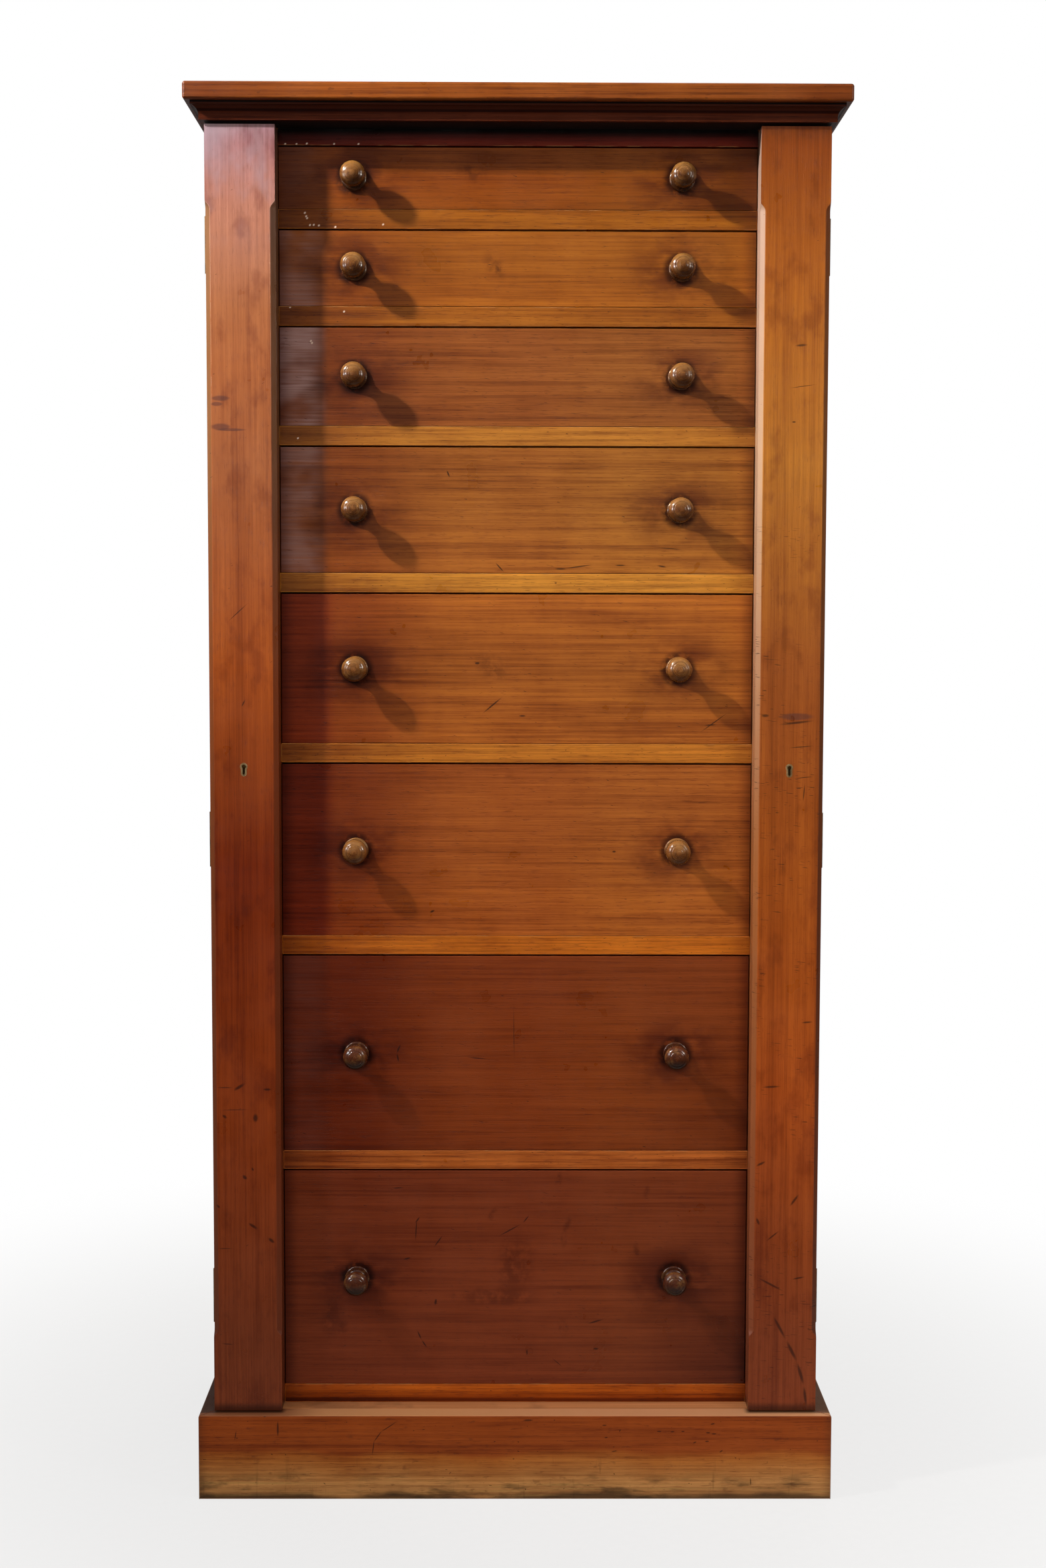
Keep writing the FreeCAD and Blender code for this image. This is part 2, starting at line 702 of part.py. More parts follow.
def drawer_box(number, side_height):
    """The two sides and the back, as three separate boards."""
    back_height = side_height - size.drawer_back_drop - BOTTOM_TOP
    back_tails = tail_count(back_height)
    back_pitch = back_height / back_tails
    gap = size.dovetail_gap
    pin_thin = size.pin_width / 2
    pin_thick = pin_thin + size.drawer_back_thickness * size.tail_slope
    side_length = DRAWER_LENGTH - size.front_lap
    joint = side_length - size.drawer_back_thickness

    side = new_body(f"drawer_{number}_side")
    outline = new_sketch(side, "YZ_Plane")
    draw_rectangle(outline, (0, side_length), (0, side_height))
    pad(side, outline, size.drawer_side_thickness)
    groove = new_sketch(side, "YZ_Plane")
    draw_rectangle(groove, (0, side_length), (size.drawer_bottom_rise, BOTTOM_TOP))
    pocket(side, groove, size.drawer_groove, reverse=True)
    count = tail_count(side_height)
    gaps = new_sketch(side, "YZ_Plane")
    wedge(gaps, 0, TAIL_LENGTH, length(0), pin_thin, pin_thin + TAIL_LENGTH * size.tail_slope)
    cut = pocket(side, gaps)
    repeat_up(side, [cut], gaps, count + 1, side_height)
    back_gaps = new_sketch(side, "YZ_Plane")
    wedge(back_gaps, joint, side_length, BOTTOM_TOP + back_pitch / 2, pin_thick + gap, pin_thin + gap)
    back_cut = pocket(side, back_gaps)
    repeat_up(side, [back_cut], back_gaps, back_tails, back_pitch * (back_tails - 1))

    back = new_body(f"drawer_{number}_back")
    face = new_sketch(back, "YZ_Plane", -DRAWER_IN)
    draw_rectangle(face, (joint, side_length), (BOTTOM_TOP + gap, BOTTOM_TOP + back_height))
    pad(back, face, DRAWER_IN * 2)
    for end, reverse in ((DRAWER_IN, False), (-DRAWER_IN, True)):
        pins = new_sketch(back, "YZ_Plane", end)
        wedge(pins, joint, side_length, BOTTOM_TOP + back_pitch / 2, pin_thick, pin_thin)
        pin = pad(back, pins, size.drawer_side_thickness, reverse)
        repeat_up(back, [pin], pins, back_tails, back_pitch * (back_tails - 1))
    return side, back


def knob(name):
    """A turned knob on the line of Y: a spigot through the drawer front, a bead and ring against it,
    and a hollow neck under a bun whose crown runs smoothly into its round rim."""
    body = new_body(name)
    profile = new_sketch(body, "XY_Plane")
    collar = size.knob_collar_height
    ring = collar + size.knob_ring_height
    neck = ring + size.knob_neck_length
    rim = size.knob_rim_radius
    rim_out = size.knob_head_radius - rim
    neck_in = rim_out - size.knob_neck_radius
    middle = neck + (rim * rim - neck_in * neck_in).root()
    crown_reach = size.knob_crown_radius - rim
    crown_set = (crown_reach * crown_reach - rim_out * rim_out).root()
    shoulder_out = rim_out + rim * rim_out / crown_reach
    shoulder = middle + rim * crown_set / crown_reach
    face = middle - crown_set + size.knob_crown_radius
    draw(profile, [
        (0, -face, size.knob_crown_radius, "out"),
        (shoulder_out, -shoulder, rim, "out"),
        (size.knob_head_radius, -middle, rim, "out"),
        (size.knob_neck_radius, -neck, size.knob_neck_hollow, "in"),
        (size.knob_ring_radius, -ring),
        (size.knob_ring_radius, -collar),
        (size.knob_collar_radius, -collar, collar * size.knob_bead_roundness, "out"),
        (size.knob_collar_radius, 0),
        (size.knob_spigot_radius, 0),
        (size.knob_spigot_radius, size.front_thickness),
        (0, size.front_thickness)])
    turned = body.newObject("PartDesign::Revolution", name + "_turned")
    turned.Profile = profile
    turned.ReferenceAxis = (profile, ["V_Axis"])
    turned.Angle = 360
    return body


for number in DRAWERS:
    name = f"drawer_{number}"
    height = getattr(size, f"drawer_height_{number}")
    side_height = height - size.drawer_side_drop
    seat = rail_top(number) + size.drawer_seat_gap
    keep(place(drawer_front(number, height, side_height), 0, FRONT, seat), f"{name}_front")
    drawer_side, drawer_back = drawer_box(number, side_height)
    place(drawer_side, DRAWER_IN, FRONT + size.front_lap, seat)
    place(drawer_back, 0, FRONT + size.front_lap, seat)
    box_pieces = [drawer_side, mirrored(f"{name}_side_left", drawer_side), drawer_back]
    keep(group(f"{name}_box", box_pieces), f"{name}_box")
    panel_half = DRAWER_IN + size.drawer_groove - size.panel_gap
    keep(board(
        f"{name}_bottom",
        (-panel_half, panel_half),
        (FRONT + size.front_thickness - size.drawer_groove + size.panel_gap, FRONT + DRAWER_LENGTH),
        (seat + size.drawer_bottom_rise, seat + BOTTOM_TOP)), f"{name}_bottom")
    right_knob = place(knob(f"{name}_knob"), size.knob_place, FRONT, seat + height / 2)
    keep(pair(f"{name}_knobs", right_knob), f"{name}_knobs")


# Locking flaps: pilaster boards with stopped chamfers, hinged on the outer edge
def keyhole_outline(sketch, middle_x, middle_z, wall):
    """A round head over a straight slot with a rounded end, grown by a wall all round."""
    head = size.key_head_radius + wall
    half = size.key_slot_half_width + wall
    shoulder = middle_z - (head * head - half * half).root()
    end = middle_z - size.key_slot_length - wall + half
    draw(sketch, [
        (middle_x, middle_z + head, head, "out"),
        (middle_x - half, shoulder),
        (middle_x - half, end, half, "out"),
        (middle_x, end - half, half, "out"),
        (middle_x + half, end),
        (middle_x + half, shoulder, head, "out")])


def stopped_chamfer(body, arris_x, angle):
    """Cuts a chamfer along a front arris, run out at both ends in a lamb's tongue."""
    deep = size.chamfer_width / math.sqrt(2)
    low = size.chamfer_above_foot
    high = FLAP_HEIGHT - size.chamfer_below_head
    half_deep = deep / 2
    half_stop = size.chamfer_stop / 2
    bend = (half_deep * half_deep + half_stop * half_stop) / deep
    profile = new_sketch(body, "YZ_Plane", arris_x)
    profile.AttachmentOffset.Rotation = FreeCAD.Rotation(FreeCAD.Vector(0, 1, 0), angle)
    draw(profile, [
        (-deep, low), (0, low, bend, "in"),
        (half_deep, low + half_stop, bend, "out"),
        (deep, low + size.chamfer_stop),
        (deep, high - size.chamfer_stop, bend, "out"),
        (half_deep, high - half_stop, bend, "in"),
        (0, high), (-deep, high)])
    pocket(body, profile)


flap = new_body("flap_right")
flap_plan = new_sketch(flap, "XY_Plane")
draw_rectangle(flap_plan, (0, size.flap_width), (0, size.flap_thickness))
pad(flap, flap_plan, FLAP_HEIGHT)
stopped_chamfer(flap, length(0), -45)
stopped_chamfer(flap, size.flap_width, 45)
flap_middle = size.flap_width / 2
key_z = size.keyhole_above_foot
for depth, wide, tall in (
        (size.lock_plate_thickness, size.lock_plate_width, size.lock_plate_length),
        (size.lock_plate_thickness + size.lock_case_depth, size.lock_case_width, size.lock_case_length)):
    mortise = new_sketch(flap, "XZ_Plane", -size.flap_thickness)
    draw_rectangle(
        mortise,
        (flap_middle - wide / 2, flap_middle + wide / 2),
        (key_z - tall / 2, key_z + tall / 2))
    pocket(flap, mortise, depth, reverse=True)
key_hole = new_sketch(flap, "XZ_Plane")
keyhole_outline(key_hole, flap_middle, key_z, size.escutcheon_wall)
pocket(flap, key_hole, size.flap_thickness)
hinge_recesses(flap, size.flap_width, size.flap_thickness, length(0), False)
place(flap, FLAP_IN, FLAP_FRONT, FLAP_FOOT)
keep(flap, "flap_right")
keep(mirrored("flap_left", flap), "flap_left")

# Escutcheons: keyhole rings let into the flaps' faces
escutcheon = new_body("escutcheon_right")
ring_section = new_sketch(escutcheon, "XZ_Plane", size.escutcheon_proud)
keyhole_outline(ring_section, length(0), length(0), size.escutcheon_wall)
keyhole_outline(ring_section, length(0), length(0), length(0))
pad(escutcheon, ring_section, size.escutcheon_depth, reverse=True)
place(escutcheon, LOCK_MIDDLE, FLAP_FRONT, KEYHOLE)
keep(escutcheon, "escutcheon_right")
keep(mirrored("escutcheon_left", escutcheon), "escutcheon_left")

# Lock cases: a plate flush with the flap's back and a hollow box in the mortise, with a pin for the key
plate = size.lock_plate_thickness
case_end = plate + size.lock_case_depth
inside_half = size.lock_case_width / 2 - size.lock_case_wall
inside_tall = size.lock_case_length / 2 - size.lock_case_wall
slot_half = size.staple_width / 2 + size.staple_clearance
slot_low = size.staple_rise - size.bolt_clearance * 2
slot_high = size.staple_rise + size.staple_thickness + size.bolt_clearance * 2
case = new_body("lock_case_right")
plate_face = new_sketch(case, "XZ_Plane")
draw_rectangle(
    plate_face,
    (-size.lock_plate_width / 2, size.lock_plate_width / 2),
    (-size.lock_plate_length / 2, size.lock_plate_length / 2))
pad(case, plate_face, plate)
box_face = new_sketch(case, "XZ_Plane", plate)
draw_rectangle(
    box_face,
    (-size.lock_case_width / 2, size.lock_case_width / 2),
    (-size.lock_case_length / 2, size.lock_case_length / 2))
pad(case, box_face, size.lock_case_depth)
hollow_face = new_sketch(case, "XZ_Plane", plate)
draw_rectangle(hollow_face, (-inside_half, inside_half), (-inside_tall, inside_tall))
pocket(case, hollow_face, size.lock_case_depth - size.lock_case_wall, reverse=True)
slot_face = new_sketch(case, "XZ_Plane")
draw_rectangle(slot_face, (-slot_half, slot_half), (slot_low, slot_high))
pocket(case, slot_face, plate, reverse=True)
key_face = new_sketch(case, "XZ_Plane", case_end)
keyhole_outline(key_face, length(0), length(0), length(0))
pocket(case, key_face, size.lock_case_wall)
pin_face = new_sketch(case, "XZ_Plane", plate)
draw_circle(pin_face, 0, 0, size.key_pin_radius)
pad(case, pin_face, size.flap_thickness - plate - size.key_pin_setback)
place(case, LOCK_MIDDLE, FLAP_BACK, KEYHOLE)
keep(case, "lock_case_right")
keep(mirrored("lock_case_left", case), "lock_case_left")

# Bolts: plates that slide up so that their nose passes through the staple's eye
bolt = new_body("lock_bolt_right")
bolt_face = new_sketch(bolt, "XZ_Plane", plate + size.bolt_clearance)
bolt_half = size.bolt_width / 2
nose_half = size.bolt_nose_width / 2
nose_top = size.staple_rise - size.bolt_clearance * 2
bolt_shoulder = nose_top - size.bolt_travel
draw(bolt_face, [
    (-bolt_half, -size.bolt_foot), (bolt_half, -size.bolt_foot), (bolt_half, bolt_shoulder),
    (nose_half, bolt_shoulder), (nose_half, nose_top), (-nose_half, nose_top), (-nose_half, bolt_shoulder),
    (-bolt_half, bolt_shoulder)])
talon_half = size.key_head_radius + size.bolt_clearance * 2
draw_rectangle(
    bolt_face,
    (-talon_half, talon_half),
    (-size.key_slot_length - size.bolt_clearance, size.key_pin_radius + size.bolt_clearance * 2))
pad(bolt, bolt_face, size.bolt_thickness)
place(bolt, LOCK_MIDDLE, FLAP_BACK, KEYHOLE)
keep(bolt, "lock_bolt_right")
keep(mirrored("lock_bolt_left", bolt), "lock_bolt_left")

# Link plates: let into the stiles, each with a staple that enters the lock when the flap is shut
link = new_body("link_plate")
link_face = new_sketch(link, "XZ_Plane", -size.flap_gap)
draw_rectangle(
    link_face,
    (-size.link_plate_width / 2, size.link_plate_width / 2),
    (link_z[0] - KEYHOLE, link_z[1] - KEYHOLE))
pad(link, link_face, size.link_plate_thickness, reverse=True)
staple = new_sketch(link, "XY_Plane", size.staple_rise)
draw_rectangle(staple, (-size.staple_width / 2, size.staple_width / 2), (-size.staple_reach, size.flap_gap))
eye_low = -(plate + size.bolt_clearance * 2 + size.bolt_thickness)
draw_rectangle(staple, (-nose_half - size.bolt_clearance, nose_half + size.bolt_clearance), (eye_low, -plate))
pad(link, staple, size.staple_thickness)
place(link, LOCK_MIDDLE, FLAP_BACK, KEYHOLE)
keep(pair("link_plates", link), "link_plates")


# Butt hinges: two outer knuckles on the carcass leaf and one between them on the flap leaf
def hinge_leaf(name, face_y, inwards, knuckle_feet, knuckle_length):
    """A leaf with its knuckles about the pin, at the origin of the hinge's own frame."""
    body = new_body(name)
    leaf_y = (face_y, face_y + size.leaf_thickness) if inwards else (face_y - size.leaf_thickness, face_y)
    edge = -size.knuckle_radius - size.knuckle_clearance
    plan = new_sketch(body, "XY_Plane")
    draw_rectangle(plan, (-size.leaf_width - size.pin_offset, edge), leaf_y)
    pad(body, plan, size.hinge_length)
    for foot in knuckle_feet:
        neck = new_sketch(body, "XY_Plane", foot)
        draw_rectangle(neck, (edge, 0), leaf_y)
        pad(body, neck, knuckle_length)
        barrel = new_sketch(body, "XY_Plane", foot)
        draw_circle(barrel, 0, 0, size.knuckle_radius)
        pad(body, barrel, knuckle_length)
    bore = new_sketch(body, "XY_Plane")
    draw_circle(bore, 0, 0, size.pin_radius + size.pin_clearance)
    pocket(body, bore)
    return body


knuckle_third = size.hinge_length / 3
knuckle_length = knuckle_third - size.knuckle_gap
carcass_leaves = []
flap_leaves = []
for number, hinge_foot in enumerate(HINGE_FEET, start=1):
    pin_place = (SIDE_OUT + size.pin_offset, FRONT - size.flap_gap / 2, FLAP_FOOT + hinge_foot)
    outer_feet = (length(0), knuckle_third * 2)
    inner_feet = (knuckle_third + size.knuckle_gap / 2,)
    carcass_leaf = hinge_leaf(f"carcass_leaf_{number}", size.flap_gap / 2, True, outer_feet, knuckle_third)
    flap_leaf = hinge_leaf(f"flap_leaf_{number}", -size.flap_gap / 2, False, inner_feet, knuckle_length)
    pin = doc.addObject("Part::Cylinder", f"hinge_pin_{number}")
    bind(pin, "Radius", size.pin_radius)
    bind(pin, "Height", size.hinge_length)
    for piece in (carcass_leaf, flap_leaf, pin):
        place(piece, *pin_place)
    carcass_leaves += [carcass_leaf, pin]
    flap_leaves.append(flap_leaf)
leaves_right = group("carcass_leaves_right", carcass_leaves)
keep(pair("hinge_carcass_leaves_and_pins", leaves_right), "hinge_carcass_leaves_and_pins")
flap_leaves_right = group("hinge_flap_leaves_right", flap_leaves)
keep(flap_leaves_right, "hinge_flap_leaves_right")
keep(mirrored("hinge_flap_leaves_left", flap_leaves_right), "hinge_flap_leaves_left")

# Everything is recomputed and looked over before any file is written
doc.recompute()
for item in doc.Objects:
    if "Invalid" in item.State or "Error" in item.State:
        raise RuntimeError(f"{item.Label} failed: {item.State}")
for node in NODES:
    if node.Shape.isNull() or not node.Shape.isValid():
        raise RuntimeError(f"{node.Label} has no valid shape")
os.makedirs("parts", exist_ok=True)
for node in NODES:
    node.Shape.exportStep(f"parts/{node.Label}.step")
    print(node.Label, len(node.Shape.Solids), round(node.Shape.Volume))
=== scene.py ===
"""A tall side-locking chest of eight graduated mahogany drawers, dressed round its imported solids."""

from functools import partial
from math import atan2, cos, degrees, exp, hypot, pi, radians, sin

import bmesh
import bpy
from mathutils import Matrix, Vector


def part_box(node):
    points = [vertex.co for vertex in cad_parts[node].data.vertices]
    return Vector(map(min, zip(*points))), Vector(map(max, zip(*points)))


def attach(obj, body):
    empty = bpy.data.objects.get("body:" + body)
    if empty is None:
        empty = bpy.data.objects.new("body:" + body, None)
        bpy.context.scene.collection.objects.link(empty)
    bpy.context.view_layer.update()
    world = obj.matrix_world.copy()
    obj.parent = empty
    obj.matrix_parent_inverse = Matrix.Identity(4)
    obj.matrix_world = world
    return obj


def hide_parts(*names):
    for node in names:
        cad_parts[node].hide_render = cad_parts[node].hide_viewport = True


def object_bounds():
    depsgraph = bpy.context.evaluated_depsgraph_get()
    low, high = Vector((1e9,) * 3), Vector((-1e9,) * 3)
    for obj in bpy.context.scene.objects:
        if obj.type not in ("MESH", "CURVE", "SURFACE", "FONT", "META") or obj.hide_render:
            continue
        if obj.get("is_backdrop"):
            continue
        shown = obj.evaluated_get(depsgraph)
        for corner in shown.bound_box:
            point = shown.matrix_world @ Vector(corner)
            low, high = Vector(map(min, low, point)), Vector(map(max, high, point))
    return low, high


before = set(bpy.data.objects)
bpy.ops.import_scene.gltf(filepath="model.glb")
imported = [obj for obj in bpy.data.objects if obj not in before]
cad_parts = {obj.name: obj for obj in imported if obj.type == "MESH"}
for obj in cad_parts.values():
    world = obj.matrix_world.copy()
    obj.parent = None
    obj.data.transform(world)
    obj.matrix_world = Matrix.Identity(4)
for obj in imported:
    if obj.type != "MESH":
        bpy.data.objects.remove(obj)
cad_low, cad_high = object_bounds()
MM = 0.001
CHEST_HEIGHT = cad_high.z


# Plinth: mahogany boards mitred at the front corners and glued to pine blocks, standing on the floor.
# Brooms and damp have bleached the lower half of the polish to a dull straw colour under dark grime.
def paint(red, green, blue):
    """A colour as a screen shows it, 0 to 255, as the linear colour that a shader takes."""
    def linear(part):
        return (part / 255 / 12.92) if part <= 10 else ((part / 255 + 0.055) / 1.055) ** 2.4
    return (linear(red), linear(green), linear(blue), 1.0)


def lay(tree, kind, sockets, out=0, **settings):
    """Adds a node to a tree, fills its sockets with links or plain values and gives one of its outputs."""
    node = tree.nodes.new("ShaderNode" + kind)
    for name, value in settings.items():
        setattr(node, name, value)
    for key, value in sockets.items():
        if isinstance(value, bpy.types.NodeSocket):
            tree.links.new(value, node.inputs[key])
        else:
            node.inputs[key].default_value = value
    return node.outputs[out]


class Finish:
    """One finish of the chest: layers of pattern in the chest's own coordinates, laid under a shader."""

    CLOUD_ROUGHNESS = 0.55
    STROKE_DEPTH = 4.0
    RELIEF_STRENGTH = 0.35

    def __init__(self, name):
        self.material = bpy.data.materials.new(name)
        self.material.use_nodes = True
        self.tree = self.material.node_tree
        self.lay = partial(lay, self.tree)
        self.shader = self.tree.nodes["Principled BSDF"]
        self.place = self.lay("TexCoord", {}, "Object")
        self.x, self.y, self.z = [self.lay("SeparateXYZ", {0: self.place}, axis) for axis in range(3)]
        self.side = self.sum("ABSOLUTE", self.x)

    def sum(self, way, first, second=0.0):
        """One sum in arithmetic, of the kind that way names."""
        return self.lay("Math", {0: first, 1: second}, operation=way)

    def times(self, *amounts):
        """Amounts multiplied together."""
        total = amounts[0]
        for amount in amounts[1:]:
            total = self.sum("MULTIPLY", total, amount)
        return total

    def span(self, value, low, high):
        """Eases from 0 at low to 1 at high."""
        return self.lay("MapRange", {0: value, 1: low, 2: high}, interpolation_type="SMOOTHSTEP")

    def ramp(self, value, low, high, first=0.0, last=1.0):
        """Goes straight from first at low to last at high."""
        return self.lay("MapRange", {0: value, 1: low, 2: high, 3: first, 4: last})

    def reach(self, across, along, share=1.0):
        """How far off a place is, by how far it is across and along. A share below 1 widens it across."""
        squares = self.sum("ADD", self.times(across, across, share), self.times(along, along))
        return self.sum("SQRT", squares)

    def cloud(self, size, detail=2.0, shift=0.0, turn=0.0):
        """Clouds of a given size in millimetres along x, y and z, turned in the plane of the front."""
        cell = tuple(length * MM for length in size)
        there = self.lay(
            "Mapping",
            {0: self.place, "Location": (shift, shift, shift), "Rotation": (0.0, turn, 0.0), "Scale": cell},
            vector_type="TEXTURE",
        )
        look = {"Vector": there, "Scale": 1.0, "Detail": detail, "Roughness": self.CLOUD_ROUGHNESS}
        return self.lay("TexNoise", look)

    def grain(self, length, width, detail, shift, along, turning=None, turned=None):
        """A cloud drawn out along an axis, as grain is. Where turning is 1 it lies along turned instead."""
        def lying(axis):
            return self.cloud([length if axis == other else width for other in "xyz"], detail, shift)
        if turning is None:
            return lying(along)
        return self.lay("Mix", {0: turning, 2: lying(along), 3: lying(turned)})

    def tones(self, value, *stops):
        """Runs through the colours of the stops, each a place from 0 to 1 and a colour."""
        run = self.lay("ValToRGB", {0: value})
        places = run.node.color_ramp.elements
        places.remove(places[1])
        for index, (at, colour) in enumerate(stops):
            stop = places[0] if index == 0 else places.new(at)
            stop.position = at
            stop.color = colour
        return run

    def fade(self, heights):
        """Runs through colours by height: each row is a height in millimetres and a colour on the screen."""
        rows = [(height * MM / CHEST_HEIGHT, paint(*colour)) for height, colour in heights]
        return self.tones(self.sum("DIVIDE", self.z, CHEST_HEIGHT), *rows)

    def cover(self, colour, *amounts, way="MIX"):
        """Lays a colour over the finish, as far as the amounts multiplied together say."""
        layers = {0: self.times(*amounts), 6: self.colour, 7: colour}
        self.colour = self.lay("Mix", layers, 2, data_type="RGBA", blend_type=way)

    def stain(self, colour, *amounts):
        """Lays a colour that multiplies the finish, as a stain or a bleach does."""
        self.cover(colour, *amounts, way="MULTIPLY")

    def stroke(self, start, end, width, face):
        """A soft-ended stroke on a face at depth y, between two places (x, z) in millimetres."""
        run = end[0] - start[0]
        rise = end[1] - start[1]
        there = self.lay(
            "Mapping",
            {
                0: self.place,
                "Location": ((start[0] + end[0]) / 2 * MM, face, (start[1] + end[1]) / 2 * MM),
                "Rotation": (0.0, atan2(-rise, run), 0.0),
                "Scale": ((hypot(run, rise) / 2 + width) * MM, self.STROKE_DEPTH * MM, width * MM),
            },
            vector_type="TEXTURE",
        )
        return self.lay("TexGradient", {0: there}, 1, gradient_type="SPHERICAL")

    def scored(self, amount, marks, face, full=0.7):
        """Adds marks to an amount: each is a stroke's start, end and width on a face at depth y."""
        for start, end, width in marks:
            mark = self.span(self.stroke(start, end, width, face), 0.1, full)
            amount = self.sum("MAXIMUM", amount, mark)
        return amount

    def close(self, gloss, relief=0.0003, **sockets):
        """Joins colour, gloss and relief to the shader, and sets the sockets that are the same all over."""
        self.tree.links.new(self.colour, self.shader.inputs["Base Color"])
        self.tree.links.new(gloss, self.shader.inputs["Roughness"])
        bump = {"Strength": self.RELIEF_STRENGTH, "Distance": relief, "Height": self.height}
        raised = self.lay("Bump", bump)
        self.tree.links.new(raised, self.shader.inputs["Normal"])
        for name, value in sockets.items():
            self.shader.inputs[name.replace("_", " ")].default_value = value
        return self.material


GRAIN_TURNS_WITHIN = 0.5
GRAIN_TONES = [
    (0.30, (0.50, 0.38, 0.27, 1)),
    (0.50, (1, 1, 0.8, 1)),
    (0.70, (1.36, 1.50, 1.30, 1)),
]
PORE_STAIN = paint(120, 62, 36)
CORNICE_SHADE_BLACK = paint(8, 2, 1)


def mahogany(name, heights, along="x", returns_beyond=None, shift=0.0, strength=1.0, waver=0.0):
    """Polished mahogany: heights lists the colour that age has left at each height in millimetres.
    The grain runs along one axis, and past returns_beyond from the middle it turns to run front to back.
    The heights waver up and down by up to half of waver, in millimetres."""
    wood = Finish(name)
    if waver:
        swing = wood.sum("SUBTRACT", wood.cloud((110.0, 110.0, 600.0), 3.0, shift), 0.5)
        wood.z = wood.sum("ADD", wood.z, wood.times(swing, 2 * waver * MM))
    turning = None
    if returns_beyond is not None:
        nearer = (returns_beyond - GRAIN_TURNS_WITHIN) * MM
        further = (returns_beyond + GRAIN_TURNS_WITHIN) * MM
        turning = wood.span(wood.side, nearer, further)
    grain = partial(wood.grain, shift=shift, along=along, turning=turning, turned="y")
    figure = grain(760.0, 24.0, 2.0)
    streaks = wood.ramp(grain(240.0, 3.6, 3.0), 0.34, 0.66)
    hairs = wood.ramp(grain(70.0, 1.1, 2.0), 0.34, 0.66)
    pores = wood.span(grain(14.0, 0.6, 1.0), 0.60, 0.72)
    seams = wood.span(grain(420.0, 1.5, 1.0), 0.70, 0.80)
    mottle = wood.cloud((40.0, 40.0, 40.0), 3.0, shift)
    depth = 0.0
    for layer, share in ((figure, 0.40), (streaks, 0.20), (hairs, 0.14), (mottle, 0.26)):
        depth = wood.sum("ADD", depth, wood.times(layer, share))
    wood.colour = wood.fade(heights)
    wood.stain(wood.tones(depth, *GRAIN_TONES), strength)
    wood.stain(PORE_STAIN, pores, 0.5 * strength)
    wood.stain(PORE_STAIN, seams, 0.35 * strength)
    wood.height = wood.sum("SUBTRACT", wood.times(hairs, 0.3), pores)
    wood.mottle = mottle
    wood.pores = pores
    return wood


def polish(wood, low=0.27, high=0.42, **sockets):
    """Closes a polished wood: the gloss drifts with the mottle and sinks in the pores."""
    gloss = wood.ramp(wood.mottle, 0.3, 0.7, low, high)
    gloss = wood.sum("ADD", gloss, wood.times(wood.pores, 0.15))
    return wood.close(gloss, **{"Specular_IOR_Level": 0.3, **sockets})


WELD_WITHIN = 0.00001
FLAT_WITHIN = radians(0.5)
ARRIS_TURN = radians(35)


def dress(name, *finishes, rounding=0.0):
    """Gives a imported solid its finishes. A rounding in millimetres takes the sharpness off its arrises,
    and where there is a second finish, the rounded arrises take it."""
    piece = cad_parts[name]
    piece.data.materials.clear()
    for finish in finishes:
        piece.data.materials.append(finish)
    if rounding:
        weld = piece.modifiers.new("joined faces", "WELD")
        weld.merge_threshold = WELD_WITHIN
        flat = piece.modifiers.new("flat faces", "DECIMATE")
        flat.decimate_type = "DISSOLVE"
        flat.angle_limit = FLAT_WITHIN
        arris = piece.modifiers.new("eased arrises", "BEVEL")
        arris.width = rounding * MM
        arris.segments = 2
        arris.limit_method = "ANGLE"
        arris.angle_limit = ARRIS_TURN
        arris.material = len(finishes) - 1 if len(finishes) > 1 else -1
        piece.modifiers.new("even shading", "WEIGHTED_NORMAL")


def rubbed(name, heights, bright=None, shaded_above=None):
    """An arris rubbed through its polish to paler, drier wood, more in some stretches than others.
    Between the two heights in bright, in millimetres, it is rubbed nearly white and painted as a glinting
    highlight. Above the last height given it is painted black, as painted shade under the cornice."""
    wood = mahogany(name, heights, strength=0.5)
    bare = wood.span(wood.cloud((26.0, 26.0, 26.0), 3.0), 0.46, 0.62)
    wood.cover(paint(206, 150, 96), bare, 0.4)
    if bright:
        # Nearly white: rubbed wood with a painted highlight.
        low, high = bright
        begun = wood.span(wood.z, (low - 20) * MM, (low + 40) * MM)
        not_ended = wood.span(wood.z, (high + 20) * MM, (high - 20) * MM)
        chafed = wood.span(wood.cloud((9.0, 9.0, 14.0), 3.0, 3.0), 0.36, 0.50)
        wood.cover(paint(250, 236, 214), begun, not_ended, chafed)
    if shaded_above:
        # Painted black above this height, as painted shade under the cornice.
        shaded_arris = wood.span(wood.z, (shaded_above - 4) * MM, shaded_above * MM)
        wood.cover(CORNICE_SHADE_BLACK, shaded_arris)
    return polish(wood, 0.36, 0.55)


